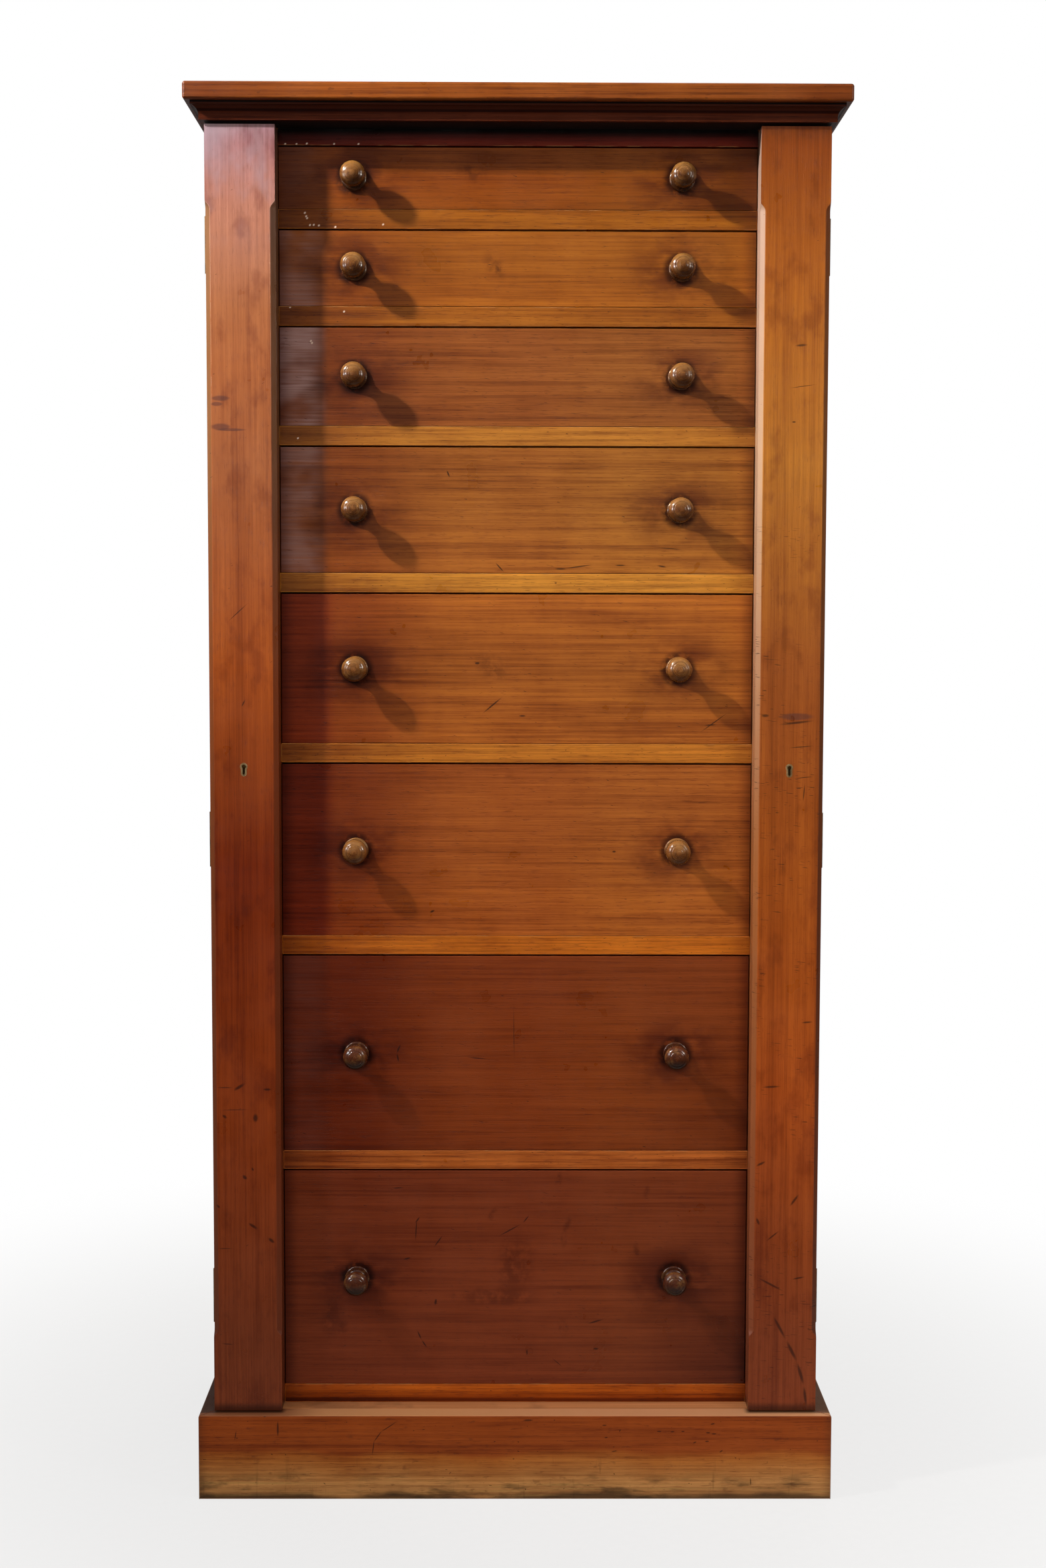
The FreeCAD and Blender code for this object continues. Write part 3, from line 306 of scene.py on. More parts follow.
PLINTH_FADE = [
    (0, (152, 106, 70)),
    (8, (182, 127, 80)),
    (16, (200, 142, 90)),
    (28, (190, 126, 73)),
    (46, (182, 105, 44)),
    (53, (155, 73, 27)),
    (94, (160, 73, 23)),
]
PLINTH_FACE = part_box("plinth_front")[0].y
PLINTH_MARKS = [
    ((-128, 88), (-149, 74), 0.8),
    ((-145, 78), (-155.5, 63), 0.9),
    ((-154, 68), (-156.6, 48), 0.8),
    ((-259.5, 89), (-259.5, 69), 1.5),
    ((-304.5, 78), (-307, 65), 0.8),
    ((8, 88.6), (20, 88.6), 1.4),
    ((155, 76), (160, 76), 1.1),
    ((170, 75.6), (174, 75.8), 1.0),
    ((182, 76), (185, 76), 1.0),
    ((214, 84), (218, 85), 1.2),
    ((209, 74.5), (213, 74.5), 1.2),
    ((215, 73.4), (220, 73.4), 1.2),
    ((195, 63), (198, 64.4), 1.1),
    ((208, 64.8), (212, 65), 1.1),
    ((224, 52.6), (227, 55), 1.1),
    ((105, 53.2), (112, 54.4), 0.9),
    ((95, 82.8), (100, 83), 1.0),
    ((98, 69), (101, 69.4), 1.0),
    ((114, 76), (115, 78), 0.9),
    ((258, 24), (258.4, 15), 1.0),
]


def plinth_mahogany(name, returns_beyond=None):
    """Mahogany bleached, dripped on and scuffed at the foot, with a worn ledge along its upper edge that is
    painted lighter as light from above, with painted shade from the left flap and under both flaps.
    """
    wood = mahogany(name, PLINTH_FADE, returns_beyond=returns_beyond, shift=3.1, strength=0.8, waver=12.0)
    bleached = wood.span(wood.z, 0.034, 0.014)
    streaks = wood.span(wood.cloud((150.0, 150.0, 2.2), 3.0, 6.1), 0.54, 0.66)
    wood.cover(paint(190, 148, 84), streaks, bleached, 0.55)
    damp = wood.times(wood.span(wood.cloud((46.0, 46.0, 12.0), 4.0, 1.7), 0.48, 0.66), bleached)
    wood.cover(paint(66, 50, 30), damp, 0.62)
    drips = wood.span(wood.cloud((9.0, 9.0, 70.0), 3.0, 4.4), 0.62, 0.76)
    splashed = wood.span(wood.z, 0.060, 0.020)
    wood.cover(paint(70, 42, 20), drips, splashed, 0.35)
    scuffs = wood.span(wood.cloud((14.0, 14.0, 7.0), 4.0, 8.8), 0.62, 0.74)
    wood.cover(paint(84, 40, 24), scuffs, 0.35)
    corner = wood.span(wood.side, 0.334, 0.350)
    wood.cover(paint(74, 40, 26), corner, 0.5)
    foot = wood.span(wood.z, 0.007, 0.001)
    wood.cover(paint(54, 40, 28), foot, 0.7)
    specks = wood.span(wood.cloud((5.0, 5.0, 3.0), 1.0, 2.2), 0.76, 0.80)
    scored = wood.scored(specks, PLINTH_MARKS, PLINTH_FACE, full=0.6)
    wood.cover(paint(36, 16, 10), scored, 0.72)
    # The ledge's upward faces are painted pale: wear, and painted light from above.
    upward = wood.lay("SeparateXYZ", {0: wood.lay("NewGeometry", {}, "Normal")}, 2)
    ledge = wood.span(upward, 0.6, 0.95)
    wood.cover(paint(250, 184, 128), ledge, 0.9)
    # Grime and the painted shadow of the left flap on the ledge's left end.
    grime_and_flap_shadow = wood.span(wood.x, -0.20, -0.27)
    wood.cover(paint(136, 68, 42), ledge, grime_and_flap_shadow, 0.75)
    dusty = wood.span(wood.x, -0.12, 0.10)
    wood.cover(paint(216, 156, 122), ledge, dusty, 0.4)
    # Painted shade on the ledge under the flaps.
    at_flap = wood.span(wood.side, 0.250, 0.258)
    set_back = wood.span(wood.y, PLINTH_FACE + 0.006, PLINTH_FACE + 0.011)
    shade_under_flaps = wood.times(at_flap, set_back)
    wood.cover(paint(52, 26, 18), ledge, shade_under_flaps, 0.8)
    wood.height = wood.sum("SUBTRACT", wood.height, scored)
    return polish(wood, 0.34, 0.52, Specular_IOR_Level=0.2)


ARRIS_FADE = [
    (0, (169, 124, 85)),
    (30, (185, 123, 78)),
    (60, (156, 85, 45)),
    (94, (183, 111, 65)),
]
plinth_finish = plinth_mahogany("plinth_front_mahogany")
plinth_arris = rubbed("plinth_arris", ARRIS_FADE)
dress("plinth_front", plinth_finish, plinth_arris, rounding=0.8)
dress("plinth_returns_and_back", plinth_mahogany("plinth_return_mahogany", returns_beyond=328.0))
JOINT_EASE = 0.0004
CRACK_EDGES = (0.0016, 0.0007)


def deal(name, pale, dark, along, returns_inside=None, joints=()):
    """Plain unpolished softwood or oak, planed and left to darken, with its grain along one axis.
    Nearer to the middle than returns_inside, in millimetres, the grain runs from side to side.
    Each joint is a place across x where the next board begins, and how its tone differs from the last."""
    wood = Finish(name)
    turning = None
    if returns_inside is not None:
        further = (returns_inside + GRAIN_TURNS_WITHIN) * MM
        nearer = (returns_inside - GRAIN_TURNS_WITHIN) * MM
        turning = wood.span(wood.side, further, nearer)
    grain = partial(wood.grain, shift=7.3, along=along, turning=turning, turned="x")
    rings = grain(500.0, 9.0, 3.0)
    hairs = grain(90.0, 1.1, 2.0)
    stains = wood.cloud((60.0, 60.0, 60.0), 4.0)
    depth = wood.sum("ADD", wood.times(rings, 0.65), wood.times(hairs, 0.35))
    wood.colour = wood.tones(depth, (0.34, paint(*dark)), (0.62, paint(*pale)))
    wood.cover(paint(*[part * 0.6 for part in dark]), wood.span(stains, 0.5, 0.72), 0.4)
    wood.height = depth
    for joint, tone in joints:
        beyond = wood.span(wood.x, joint - JOINT_EASE, joint + JOINT_EASE)
        wood.stain(tone, beyond)
        off_joint = wood.sum("ABSOLUTE", wood.sum("SUBTRACT", wood.x, joint))
        crack = wood.span(off_joint, *CRACK_EDGES)
        wood.cover(paint(24, 14, 8), crack, 0.85)
        wood.height = wood.sum("SUBTRACT", wood.height, crack)
    gloss = wood.ramp(stains, 0.3, 0.7, 0.55, 0.75)
    return wood.close(gloss, Specular_IOR_Level=0.3)


dress("plinth_glue_blocks", deal("glue_block_pine", (196, 152, 98), (142, 98, 56), "z"))


# Carcass: two upright mahogany sides grooved for the back, front stiles that hold the rails, a pine bottom,
# four upright pine back boards and a board under the top. The sides are polished, and the rest is left as
# it came from the plane.
CARCASS_FADE = [(90, (104, 46, 22)), (600, (126, 60, 26)), (1100, (140, 74, 32)), (1480, (138, 72, 34))]
carcass = mahogany("carcass_mahogany", CARCASS_FADE, along="z", shift=11.7)
knocks = carcass.span(carcass.cloud((7.0, 7.0, 4.0), 1.0, 5.0, radians(30)), 0.72, 0.78)
carcass.cover(paint(40, 18, 10), knocks, 0.7)
carcass_finish = polish(carcass)
carcass_arris = rubbed("carcass_arris", CARCASS_FADE)
for side in ("right", "left"):
    dress(f"carcass_side_{side}", carcass_finish, carcass_arris, rounding=0.7)
dress("front_stiles", carcass_finish)
# The board under the top is painted near black, as painted shade under the cornice.
dress("under_top", deal("under_top_shaded_pine", (34, 14, 8), (18, 7, 4), "x"))
dress("bottom_board", deal("bottom_pine", (226, 154, 98), (184, 116, 70), "x"))
BOARD_TONES = [(0.78, 0.76, 0.74, 1.0), (1.34, 1.34, 1.34, 1.0), (0.86, 0.88, 0.9, 1.0)]
back_low, back_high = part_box("back_boards")
board_width = (back_high.x - back_low.x) / (len(BOARD_TONES) + 1)
back_joints = [(back_low.x + board_width * board, tone) for board, tone in enumerate(BOARD_TONES, 1)]
dress("back_boards", deal("back_board_pine", (186, 142, 92), (124, 84, 48), "z", joints=back_joints))


# Drawer rails: mahogany-faced rails tenoned into the stiles, one under each drawer, with a frieze over the
# top drawer. Sun and dusting have bleached the middle ones to gold, and drawers have rubbed their top edges.
RAIL_FADE = [
    (104, (188, 91, 17)),
    (366, (198, 106, 48)),
    (605, (210, 114, 29)),
    (815, (201, 120, 39)),
    (1000, (210, 137, 51)),
    (1157, (185, 116, 43)),
    (1284, (156, 87, 21)),
    (1386, (150, 83, 14)),
    (1470, (106, 19, 2)),
]
rails = mahogany("rail_mahogany", RAIL_FADE, shift=19.3)
# Painted shade at the rail ends beside the flaps.
rail_ends_shade = rails.span(rails.side, 0.215, 0.262)
rails.stain(paint(96, 44, 30), rail_ends_shade, 0.5)
# Painted shade over the rails' left part, where the left flap's shadow falls.
painted_shade_rail_left = rails.span(rails.x, -0.10, -0.21)
rails.stain(paint(176, 140, 138), painted_shade_rail_left, 0.6)
# Painted shadow of the cornice across the top of the frieze.
frieze_top_shadow = rails.span(rails.z, 1.4665, 1.4800)
rails.cover(CORNICE_SHADE_BLACK, frieze_top_shadow)
# The bottom rail darkens towards its foot.
low_rail_darkening = rails.span(rails.z, 0.1090, 0.0960)
rails.stain(paint(170, 128, 100), low_rail_darkening, 0.75)
dark_foot = rails.span(rails.z, 0.1000, 0.0965)
rails.stain(paint(130, 84, 70), dark_foot, 0.7)
chips = rails.span(rails.cloud((5.0, 9.0, 1.6), 1.0, 8.0), 0.70, 0.76)
rails.cover(paint(64, 28, 14), chips, 0.7)


FLECK_REACH = 0.3
FLECK_WIDTH = 1.3


def flecks(wood, places, face):
    """Small pale flecks where polish has come away, painted near white with their glint, at places (x, z)
    in millimetres on a face at depth y.
    """
    amount = 0.0
    for x, z in places:
        start = (x - FLECK_REACH, z - FLECK_REACH)
        end = (x + FLECK_REACH, z + FLECK_REACH)
        fleck = wood.stroke(start, end, FLECK_WIDTH, face)
        amount = wood.sum("MAXIMUM", wood.span(fleck, 0.0, 0.7), amount)
    wood.cover(paint(250, 226, 208), amount, 0.8)


RAIL_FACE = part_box("front_rails")[0].y
RAIL_FLECKS = [
    (-248, 1465), (-236, 1465), (-225, 1465.6), (-196, 1465.2), (-170, 1465.3),
    (-227.4, 1393.2), (-226, 1389.6), (-225, 1387.6), (-222, 1380.4), (-218, 1380.6),
    (-212.5, 1380), (-195, 1378.4), (-144, 1381.3), (-243.6, 1294), (-186, 1289.5), (-236, 1155),
]
flecks(rails, RAIL_FLECKS, RAIL_FACE)
rail_finish = polish(rails)
rail_arris = rubbed("rail_arris", RAIL_FADE, shaded_above=1468)
dress("front_rails", rail_finish, rail_arris, rounding=0.7)
runner_wood = deal("runner_pine", (184, 140, 90), (128, 86, 48), "y")
dress("drawer_runners_and_guides", runner_wood)
dress("drawer_stops", runner_wood)
dress("dust_boards", deal("dust_board_pine", (180, 138, 90), (124, 84, 48), "x"))


# Cornice and top: a hollow mahogany moulding mitred round three sides under a thick top board with softened
# edges. The moulding lies in the board's shadow, painted darker in bands up to near black under the board.
CORNICE_FADE = [(1463, (86, 35, 16)), (1500, (86, 35, 16))]
cornice = mahogany("cornice_mahogany", CORNICE_FADE, returns_beyond=340.0, shift=23.9)
# Painted shade in bands: darker above the fillet, darker still in the quirk, near black under the board.
fillet = cornice.span(cornice.z, 1.4908, 1.4916)
cornice.cover(paint(62, 24, 12), fillet, 0.75)
painted_shade_quirk = cornice.times(cornice.span(cornice.z, 1.4900, 1.4908), cornice.span(cornice.z, 1.4934, 1.4926))
cornice.cover(paint(30, 6, 3), painted_shade_quirk, 0.8)
painted_shade_under_board = cornice.span(cornice.z, 1.4974, 1.4988)
cornice.cover(paint(10, 3, 2), painted_shade_under_board)
dress("cornice_moulding", polish(cornice, 0.34, 0.5, Specular_IOR_Level=0.12))
TOP_FADE = [(1500, (143, 73, 20)), (1518, (147, 77, 24))]
top = mahogany("top_mahogany", TOP_FADE, shift=29.2)
# Painted shade on the left end, tinted pink, and the right end darker.
painted_shade_left_end = top.span(top.x, -0.16, -0.34)
top.stain(paint(140, 92, 120), painted_shade_left_end, 0.6)
darker_right_end = top.span(top.x, 0.16, 0.34)
top.stain(paint(212, 186, 198), darker_right_end, 0.6)
dents = top.span(top.cloud((6.0, 6.0, 4.0), 1.0, 3.3), 0.72, 0.78)
top.cover(paint(46, 20, 10), dents, 0.35)
dress("top_board", polish(top))


# Drawers: mahogany fronts with half-blind dovetails to thin oak sides, and pine bottoms slid into grooves.
# Hands have left dark grease round each knob, and a century of keys and rings the scratches. The ends beside
# the flaps carry painted shade, the right halves painted light, and the left ends a bloom with a painted
# sheen.
DRAWER_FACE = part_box("drawer_1_front")[0].y
KNOB_PLACE = 175.0
# Each front's tone, and what lifts or shades its foot, its head and its ends.
FRONT_TONES = {
    1: (134, 64, 6),
    2: (150, 82, 19),
    3: (145, 78, 31),
    4: (160, 91, 33),
    5: (168, 92, 31),
    6: (170, 87, 32),
    7: (143, 63, 24),
    8: (133, 58, 29),
}
FOOT_LIFT = {1: 0.95, 2: 1.10, 3: 1.03, 4: 1.12, 5: 1.12, 6: 1.08, 8: 0.96}
HEAD_LIFT = {5: 1.10}
END_BLOOM_AND_SHEEN = {1: 0.12, 2: 0.44, 3: 1.0, 4: 0.6, 7: 0.06}
LEFT_STRENGTH = {1: 0.1, 2: 0.68, 3: 0.75, 4: 0.85, 8: 0.3}
RIGHT_STRENGTH = {2: 0.2, 5: 0.3}
DEEP_SHADE = {5: (0.78, 0.46, 0.46, 1.0), 6: (0.68, 0.38, 0.32, 1.0)}
FOOT_SHADE = {7: 0.4, 8: 0.65}
FLAP_SHADE_START = {1: 0.180}
UPPER_GRAIN = 0.85
LOWER_GRAIN = 0.62
LEFT_SHADE = (0.58, 0.40, 0.37, 1.0)
RIGHT_FADE = (1.06, 1.18, 1.15, 1.0)
# Marks on each front: where each starts and ends as x and z, and its width, in millimetres.
SCRATCHES = {
    4: [
        ((-76, 1121), (-73, 1114), 1.4),
        ((-24, 1023), (-14, 1012), 1.2),
        ((39, 1016), (55, 1016), 1.3),
        ((48, 1016), (85, 1021), 1.0),
        ((105, 1020), (118, 1020), 1.2),
        ((151, 1020), (162, 1018), 1.2),
        ((151, 1039), (180, 1037), 0.7),
    ],
    5: [
        ((-39, 858), (-14, 879), 1.3),
        ((-45, 914), (-41, 914), 2.0),
        ((2, 857), (10, 857), 1.3),
        ((196, 837), (232, 863), 0.9),
        ((203, 847), (218, 848), 1.1),
    ],
    6: [((-94, 642), (-90, 644), 1.8), ((105, 709), (108, 709), 1.6)],
    7: [
        ((-127, 496), (-131, 486), 1.5),
        ((-131, 486), (-129, 476), 1.5),
        ((-57, 482), (-27, 479), 0.8),
        ((-3, 548), (-2, 470), 0.5),
    ],
    8: [
        ((-109, 304), (-111, 273), 1.0),
        ((-91, 268), (-80, 283), 1.2),
        ((79, 182), (99, 188), 1.3),
        ((87, 154), (92, 154), 1.8),
        ((-106, 303), (-111, 296), 1.3),
        ((15, 305), (8, 296), 1.0),
        ((8, 296), (-21, 280), 1.1),
        ((-109, 175), (-104, 164), 1.2),
        ((-104, 164), (-98, 155), 1.2),
        ((13, 154), (13, 146), 1.1),
        ((40, 144), (53, 133), 0.7),
        ((-137, 335), (-123, 336), 0.9),
        ((-124, 255), (-116, 257), 1.4),
        ((-88, 210), (-89, 204), 2.0),
    ],
}
DRAWER_STAINS = {
    1: [((-58, 1438), (-40, 1434), 14.0)],
    2: [((-30, 1346), (-20, 1330), 13.0), ((-24, 1332), (-18, 1340), 6.0)],
    5: [((-34, 915), (-20, 905), 18.0)],
    8: [
        ((-74, 215), (28, 212), 14.0),
        ((-21, 313), (-30, 299), 5.0),
        ((49, 353), (46, 336), 5.0),
        ((60, 302), (54, 288), 5.0),
        ((54, 288), (53, 269), 5.0),
        ((145, 338), (144, 327), 5.0),
        ((-190, 183), (-192, 174), 8.0),
        ((51, 184), (55, 171), 8.0),
        ((133, 271), (135, 261), 5.0),
        ((-201, 206), (-205, 175), 16.0),
        ((2, 267), (-2, 233), 28.0),
    ],
}
DRAWER_FLECKS = {3: [(-221.6, 1258.3), (-220.4, 1256.2)]}
GREASE_SHARE = 0.45
lining_oak = deal("drawer_lining_oak", (186, 138, 84), (132, 88, 46), "y", returns_inside=238.0)
bottom_pine = deal("drawer_bottom_pine", (198, 154, 102), (146, 102, 58), "x")

for number in range(1, 9):
    low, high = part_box(f"drawer_{number}_front")
    middle = (low.z + high.z) / 2
    tone = FRONT_TONES[number]
    fade = [
        (low.z / MM, tuple(FOOT_LIFT.get(number, 1.0) * part for part in tone)),
        (middle / MM, tone),
        (high.z / MM, tuple(HEAD_LIFT.get(number, 1.0) * part for part in tone)),
    ]
    grain = LOWER_GRAIN if number in FOOT_SHADE else UPPER_GRAIN
    front = mahogany(f"drawer_{number}_mahogany", fade, shift=31.0 + number, strength=grain)
    shaded = front.span(front.x, -0.04, -0.19)
    front.stain(LEFT_SHADE, shaded, LEFT_STRENGTH.get(number, 1.0))
    # Painted light: the right half is painted lighter and yellower.
    painted_light_right = front.span(front.x, 0.0, 0.13)
    front.stain(RIGHT_FADE, painted_light_right, RIGHT_STRENGTH.get(number, 1.0))
    if number in DEEP_SHADE:
        left_end = front.span(front.x, -0.192, -0.214)
        front.stain(DEEP_SHADE[number], left_end)
    off_knob = front.sum("SUBTRACT", front.side, KNOB_PLACE * MM)
    off_level = front.sum("SUBTRACT", front.z, middle)
    handled = front.span(front.reach(off_knob, off_level, GREASE_SHARE), 0.052, 0.014)
    patchy = front.span(front.cloud((40.0, 40.0, 22.0), 3.0, number), 0.30, 0.62)
    grease = front.times(handled, patchy)
    front.stain(paint(136, 82, 84), grease, 0.7)
    ring = front.span(front.reach(off_knob, off_level), 0.0225, 0.0145)
    smeared = front.span(front.cloud((9.0, 9.0, 9.0), 3.0, number), 0.28, 0.52)
    wax = front.times(ring, smeared)
    front.stain(paint(92, 58, 66), wax, 0.85)
    # A lilac bloom in the polish at the left ends, painted with the pale sheen it shows.
    bloom_and_sheen_end = front.span(front.x, -0.202, -0.226)
    uneven = front.span(front.cloud((60.0, 60.0, 40.0), 2.0, number), 0.25, 0.65)
    along_grain = front.ramp(front.cloud((90.0, 20.0, 2.4), 3.0, number), 0.32, 0.66, 0.4, 1.15)
    end_bloom_and_sheen = front.times(bloom_and_sheen_end, uneven, along_grain)
    front.cover(paint(176, 138, 134), end_bloom_and_sheen, END_BLOOM_AND_SHEEN.get(number, 0.0))
    # Painted shade at the ends beside the flaps, reaching further in on the top drawer.
    corner = front.span(front.side, FLAP_SHADE_START.get(number, 0.237), 0.257)
    front.stain(paint(124, 84, 84), corner, 0.7)
    if number in FOOT_SHADE:
        low_right = front.times(front.span(front.x, 0.08, 0.24), front.span(front.z, high.z, low.z))
        front.stain(paint(150, 118, 118), low_right, FOOT_SHADE[number])
    for start, end, width in DRAWER_STAINS.get(number, []):
        stain = front.span(front.stroke(start, end, width, DRAWER_FACE), 0.0, 0.8)
        broken = front.span(front.cloud((8.0, 8.0, 8.0), 3.0, number), 0.30, 0.62)
        front.stain(paint(120, 76, 78), stain, broken, 0.42)
    nicks = front.span(front.cloud((9.0, 9.0, 0.9), 1.0, 2.0, radians(12)), 0.74, 0.80)
    scored = front.scored(nicks, SCRATCHES.get(number, []), DRAWER_FACE)
    front.cover(paint(44, 18, 12), scored, 0.85)
    front.height = front.sum("SUBTRACT", front.height, scored)
    if number in DRAWER_FLECKS:
        flecks(front, DRAWER_FLECKS[number], DRAWER_FACE)
    dress(f"drawer_{number}_front", polish(front), rounding=0.6)
    dress(f"drawer_{number}_box", lining_oak)
    dress(f"drawer_{number}_bottom", bottom_pine)


# Knobs: turned in mahogany on a spigot glued through the front, each with a bead, a fillet, a hollow neck and
# a bun-shaped head with rings cut round its middle button. Hands have polished them, and wax fills the cuts.
BEAD_RADIUS = 13.8
BEAD_DEPTH = 4.4
FILLET_RADIUS = 10.4
FILLET_DEPTH = 1.8
SPIGOT_RADIUS = 7.0
SPIGOT_LENGTH = 22.0
NECK_HOLLOW = 9.0
HOLLOW_MIDDLE = (14.6, 14.16)
HOLLOW_SWEEP = (242, 168)
CURVE_STEPS = 10
RIM_RADIUS = 7.0
RIM_MIDDLE = (6.4, 22.97)
RIM_START = -95
RIM_STEPS = 18
CROWN_RADIUS = 18.0
CROWN_MIDDLE = (0.0, 14.02)
CROWN_STEPS = 60
CUT_RINGS = [(8.3, 0.34), (4.6, 0.2), (3.2, 0.14)]
CUT_WIDTH = 0.42
WORN_CUTS = 0.6
CRISP_CUTS = 1.0
TURNING_STEPS = 64
TOOL_LINES_PER_METRE = 900.0
KNOB_FADE = [
    (200, (90, 43, 26)),
    (500, (104, 53, 29)),
    (700, (150, 91, 45)),
    (950, (150, 93, 45)),
    (1100, (127, 75, 36)),
    (1460, (111, 64, 22)),
]


def arc(middle, radius, start, end, steps):
    """Places along an arc: how far each is out from the knob's line and forward of the drawer front."""
    angles = [radians(start + (end - start) * step / steps) for step in range(steps + 1)]
    return [(middle[0] + radius * cos(angle), middle[1] + radius * sin(angle)) for angle in angles]


def knob_outline(cut_share):
    """The knob's half outline, from its spigot's end along the bead, neck and head to the middle button."""
    bead = BEAD_DEPTH / 2
    fillet_end = BEAD_DEPTH + FILLET_DEPTH
    outline = [(0.0, -SPIGOT_LENGTH), (SPIGOT_RADIUS, -SPIGOT_LENGTH), (SPIGOT_RADIUS, 0.0)]
    outline += arc((BEAD_RADIUS - bead, bead), bead, -90, 90, CURVE_STEPS)
    outline += [(FILLET_RADIUS, BEAD_DEPTH), (FILLET_RADIUS, fillet_end)]
    outline += arc(HOLLOW_MIDDLE, NECK_HOLLOW, *HOLLOW_SWEEP, CURVE_STEPS)[1:]
    shoulder = degrees(atan2(RIM_MIDDLE[1] - CROWN_MIDDLE[1], RIM_MIDDLE[0]))
    outline += arc(RIM_MIDDLE, RIM_RADIUS, RIM_START, shoulder, RIM_STEPS)
    for out, forward in arc(CROWN_MIDDLE, CROWN_RADIUS, shoulder, 90, CROWN_STEPS)[1:-1]:
        dip = sum(deep * exp(-(((out - ring) / CUT_WIDTH) ** 2)) for ring, deep in CUT_RINGS) * cut_share
        outline.append((out, forward - dip))
    return outline + [(0.0, CROWN_MIDDLE[1] + CROWN_RADIUS)]


def turn_knob(bm, across, level, cut_share):
    """Turns one knob about a line straight out of the drawer front."""
    points = [
        bm.verts.new(((across + radius) * MM, DRAWER_FACE - forward * MM, level))
        for radius, forward in knob_outline(cut_share)
    ]
    edges = [bm.edges.new(pair) for pair in zip(points, points[1:])]
    bmesh.ops.spin(
        bm, geom=points + edges, cent=(across * MM, 0.0, level), axis=(0.0, 1.0, 0.0),
        angle=2 * pi, steps=TURNING_STEPS, use_merge=True,
    )


MERGE_WITHIN = 0.000005


def finished_piece(name, bm, finish, body, sharp=40.0):
    """Makes a mesh a riding piece: merged, faced outwards and smooth but for its sharp edges."""
    bmesh.ops.remove_doubles(bm, verts=bm.verts, dist=MERGE_WITHIN)
    bmesh.ops.recalc_face_normals(bm, faces=bm.faces)
    mesh = bpy.data.meshes.new(name)
    bm.to_mesh(mesh)
    bm.free()
    mesh.shade_smooth()
    mesh.set_sharp_from_angle(angle=radians(sharp))
    mesh.materials.append(finish)
    piece = bpy.data.objects.new(name, mesh)
    bpy.context.scene.collection.objects.link(piece)
    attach(piece, body)
    return piece


knob = mahogany("knob_mahogany", KNOB_FADE, along="y", shift=41.0, strength=0.7)
away = knob.lay("Attribute", {}, "Fac", attribute_name="from_line")
rounds = {"W": knob.times(away, TOOL_LINES_PER_METRE), "Scale": 1.0, "Detail": 2.0}
tool_lines = knob.lay("TexNoise", rounds, noise_dimensions="1D")
tool_tones = knob.tones(tool_lines, (0.3, (0.66, 0.58, 0.5, 1)), (0.7, (1.2, 1.25, 1.25, 1)))
knob.stain(tool_tones, 0.6)
worn = knob.span(knob.cloud((8.0, 8.0, 8.0), 3.0), 0.46, 0.68)
knob.cover(paint(196, 142, 82), worn, 0.3)
head = knob.span(knob.y, DRAWER_FACE - 0.024, DRAWER_FACE - 0.027)
for ring, deep in CUT_RINGS:
    off_cut = knob.sum("ABSOLUTE", knob.sum("SUBTRACT", away, ring * MM))
    cut = knob.span(off_cut, 0.0009, 0.0002)
    knob.cover(paint(48, 22, 14), cut, head, deep)
waxed = knob.span(knob.y, DRAWER_FACE - 0.020, DRAWER_FACE - 0.003)
knob.stain(paint(96, 56, 46), waxed, 0.4)
above = knob.lay("Attribute", {}, "Fac", attribute_name="above_line")
# Painted shade on each knob's underside, deeper on the low knobs, and painted light on the high knobs' tops.
painted_shade_underside = knob.span(above, 0.004, -0.011)
knob.stain(paint(84, 56, 46), painted_shade_underside, 0.72)
lit_high_knobs = knob.span(knob.z, 0.54, 0.72)
unlit = knob.span(knob.z, 0.72, 0.54)
knob.stain(paint(70, 44, 40), painted_shade_underside, unlit, 0.8)
painted_light_top = knob.span(above, -0.002, 0.011)
knob.cover(paint(176, 126, 66), painted_light_top, lit_high_knobs, 0.45)
knob_finish = polish(knob, 0.22, 0.32, Specular_IOR_Level=0.15, Coat_Weight=0.7, Coat_Roughness=0.2)
for number in range(1, 9):
    low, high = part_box(f"drawer_{number}_front")
    level = (low.z + high.z) / 2
    pair = bmesh.new()
    turn_knob(pair, -KNOB_PLACE, level, WORN_CUTS)
    turn_knob(pair, KNOB_PLACE, level, CRISP_CUTS)
    from_line = pair.verts.layers.float.new("from_line")
    above_line = pair.verts.layers.float.new("above_line")
    for vertex in pair.verts:
        vertex[from_line] = hypot(abs(vertex.co.x) - KNOB_PLACE * MM, vertex.co.z - level)
        vertex[above_line] = vertex.co.z - level
    turned = f"drawer_{number}_turned_knobs"
    knobs = finished_piece(turned, pair, knob_finish, f"drawer_{number}")
    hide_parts(f"drawer_{number}_knobs")


# Flaps: upright mahogany pilasters with stopped chamfers, hung on the carcass edges to lock all the drawers.
# The left one has bloomed to a rosy haze near the top, painted with the sheen it shows there, and both are
# knocked and scratched by what went past. The chamfers carry painted light and shade, and the feet painted
# shade.
FLAP_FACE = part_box("flap_left")[0].y
# The left flap's rosy top rows hold its bloom and a painted sheen.
FLAP_FADE = {
    "left": [
        (180, (133, 62, 35)),
        (440, (157, 66, 22)),
        (695, (132, 45, 8)),
        (910, (183, 88, 30)),
        (1123, (175, 100, 61)),
        (1229, (177, 101, 59)),
        (1290, (176, 105, 67)),
        (1332, (181, 115, 88)),
        (1395, (181, 118, 102)),
        (1457, (162, 110, 116)),
        (1478, (159, 119, 134)),
    ],
    "right": [
        (180, (142, 66, 35)),
        (440, (188, 88, 32)),
        (695, (178, 89, 24)),
        (910, (166, 87, 31)),
        (1123, (193, 120, 43)),
        (1332, (178, 97, 27)),
        (1457, (149, 70, 14)),
        (1478, (123, 56, 13)),
    ],
}
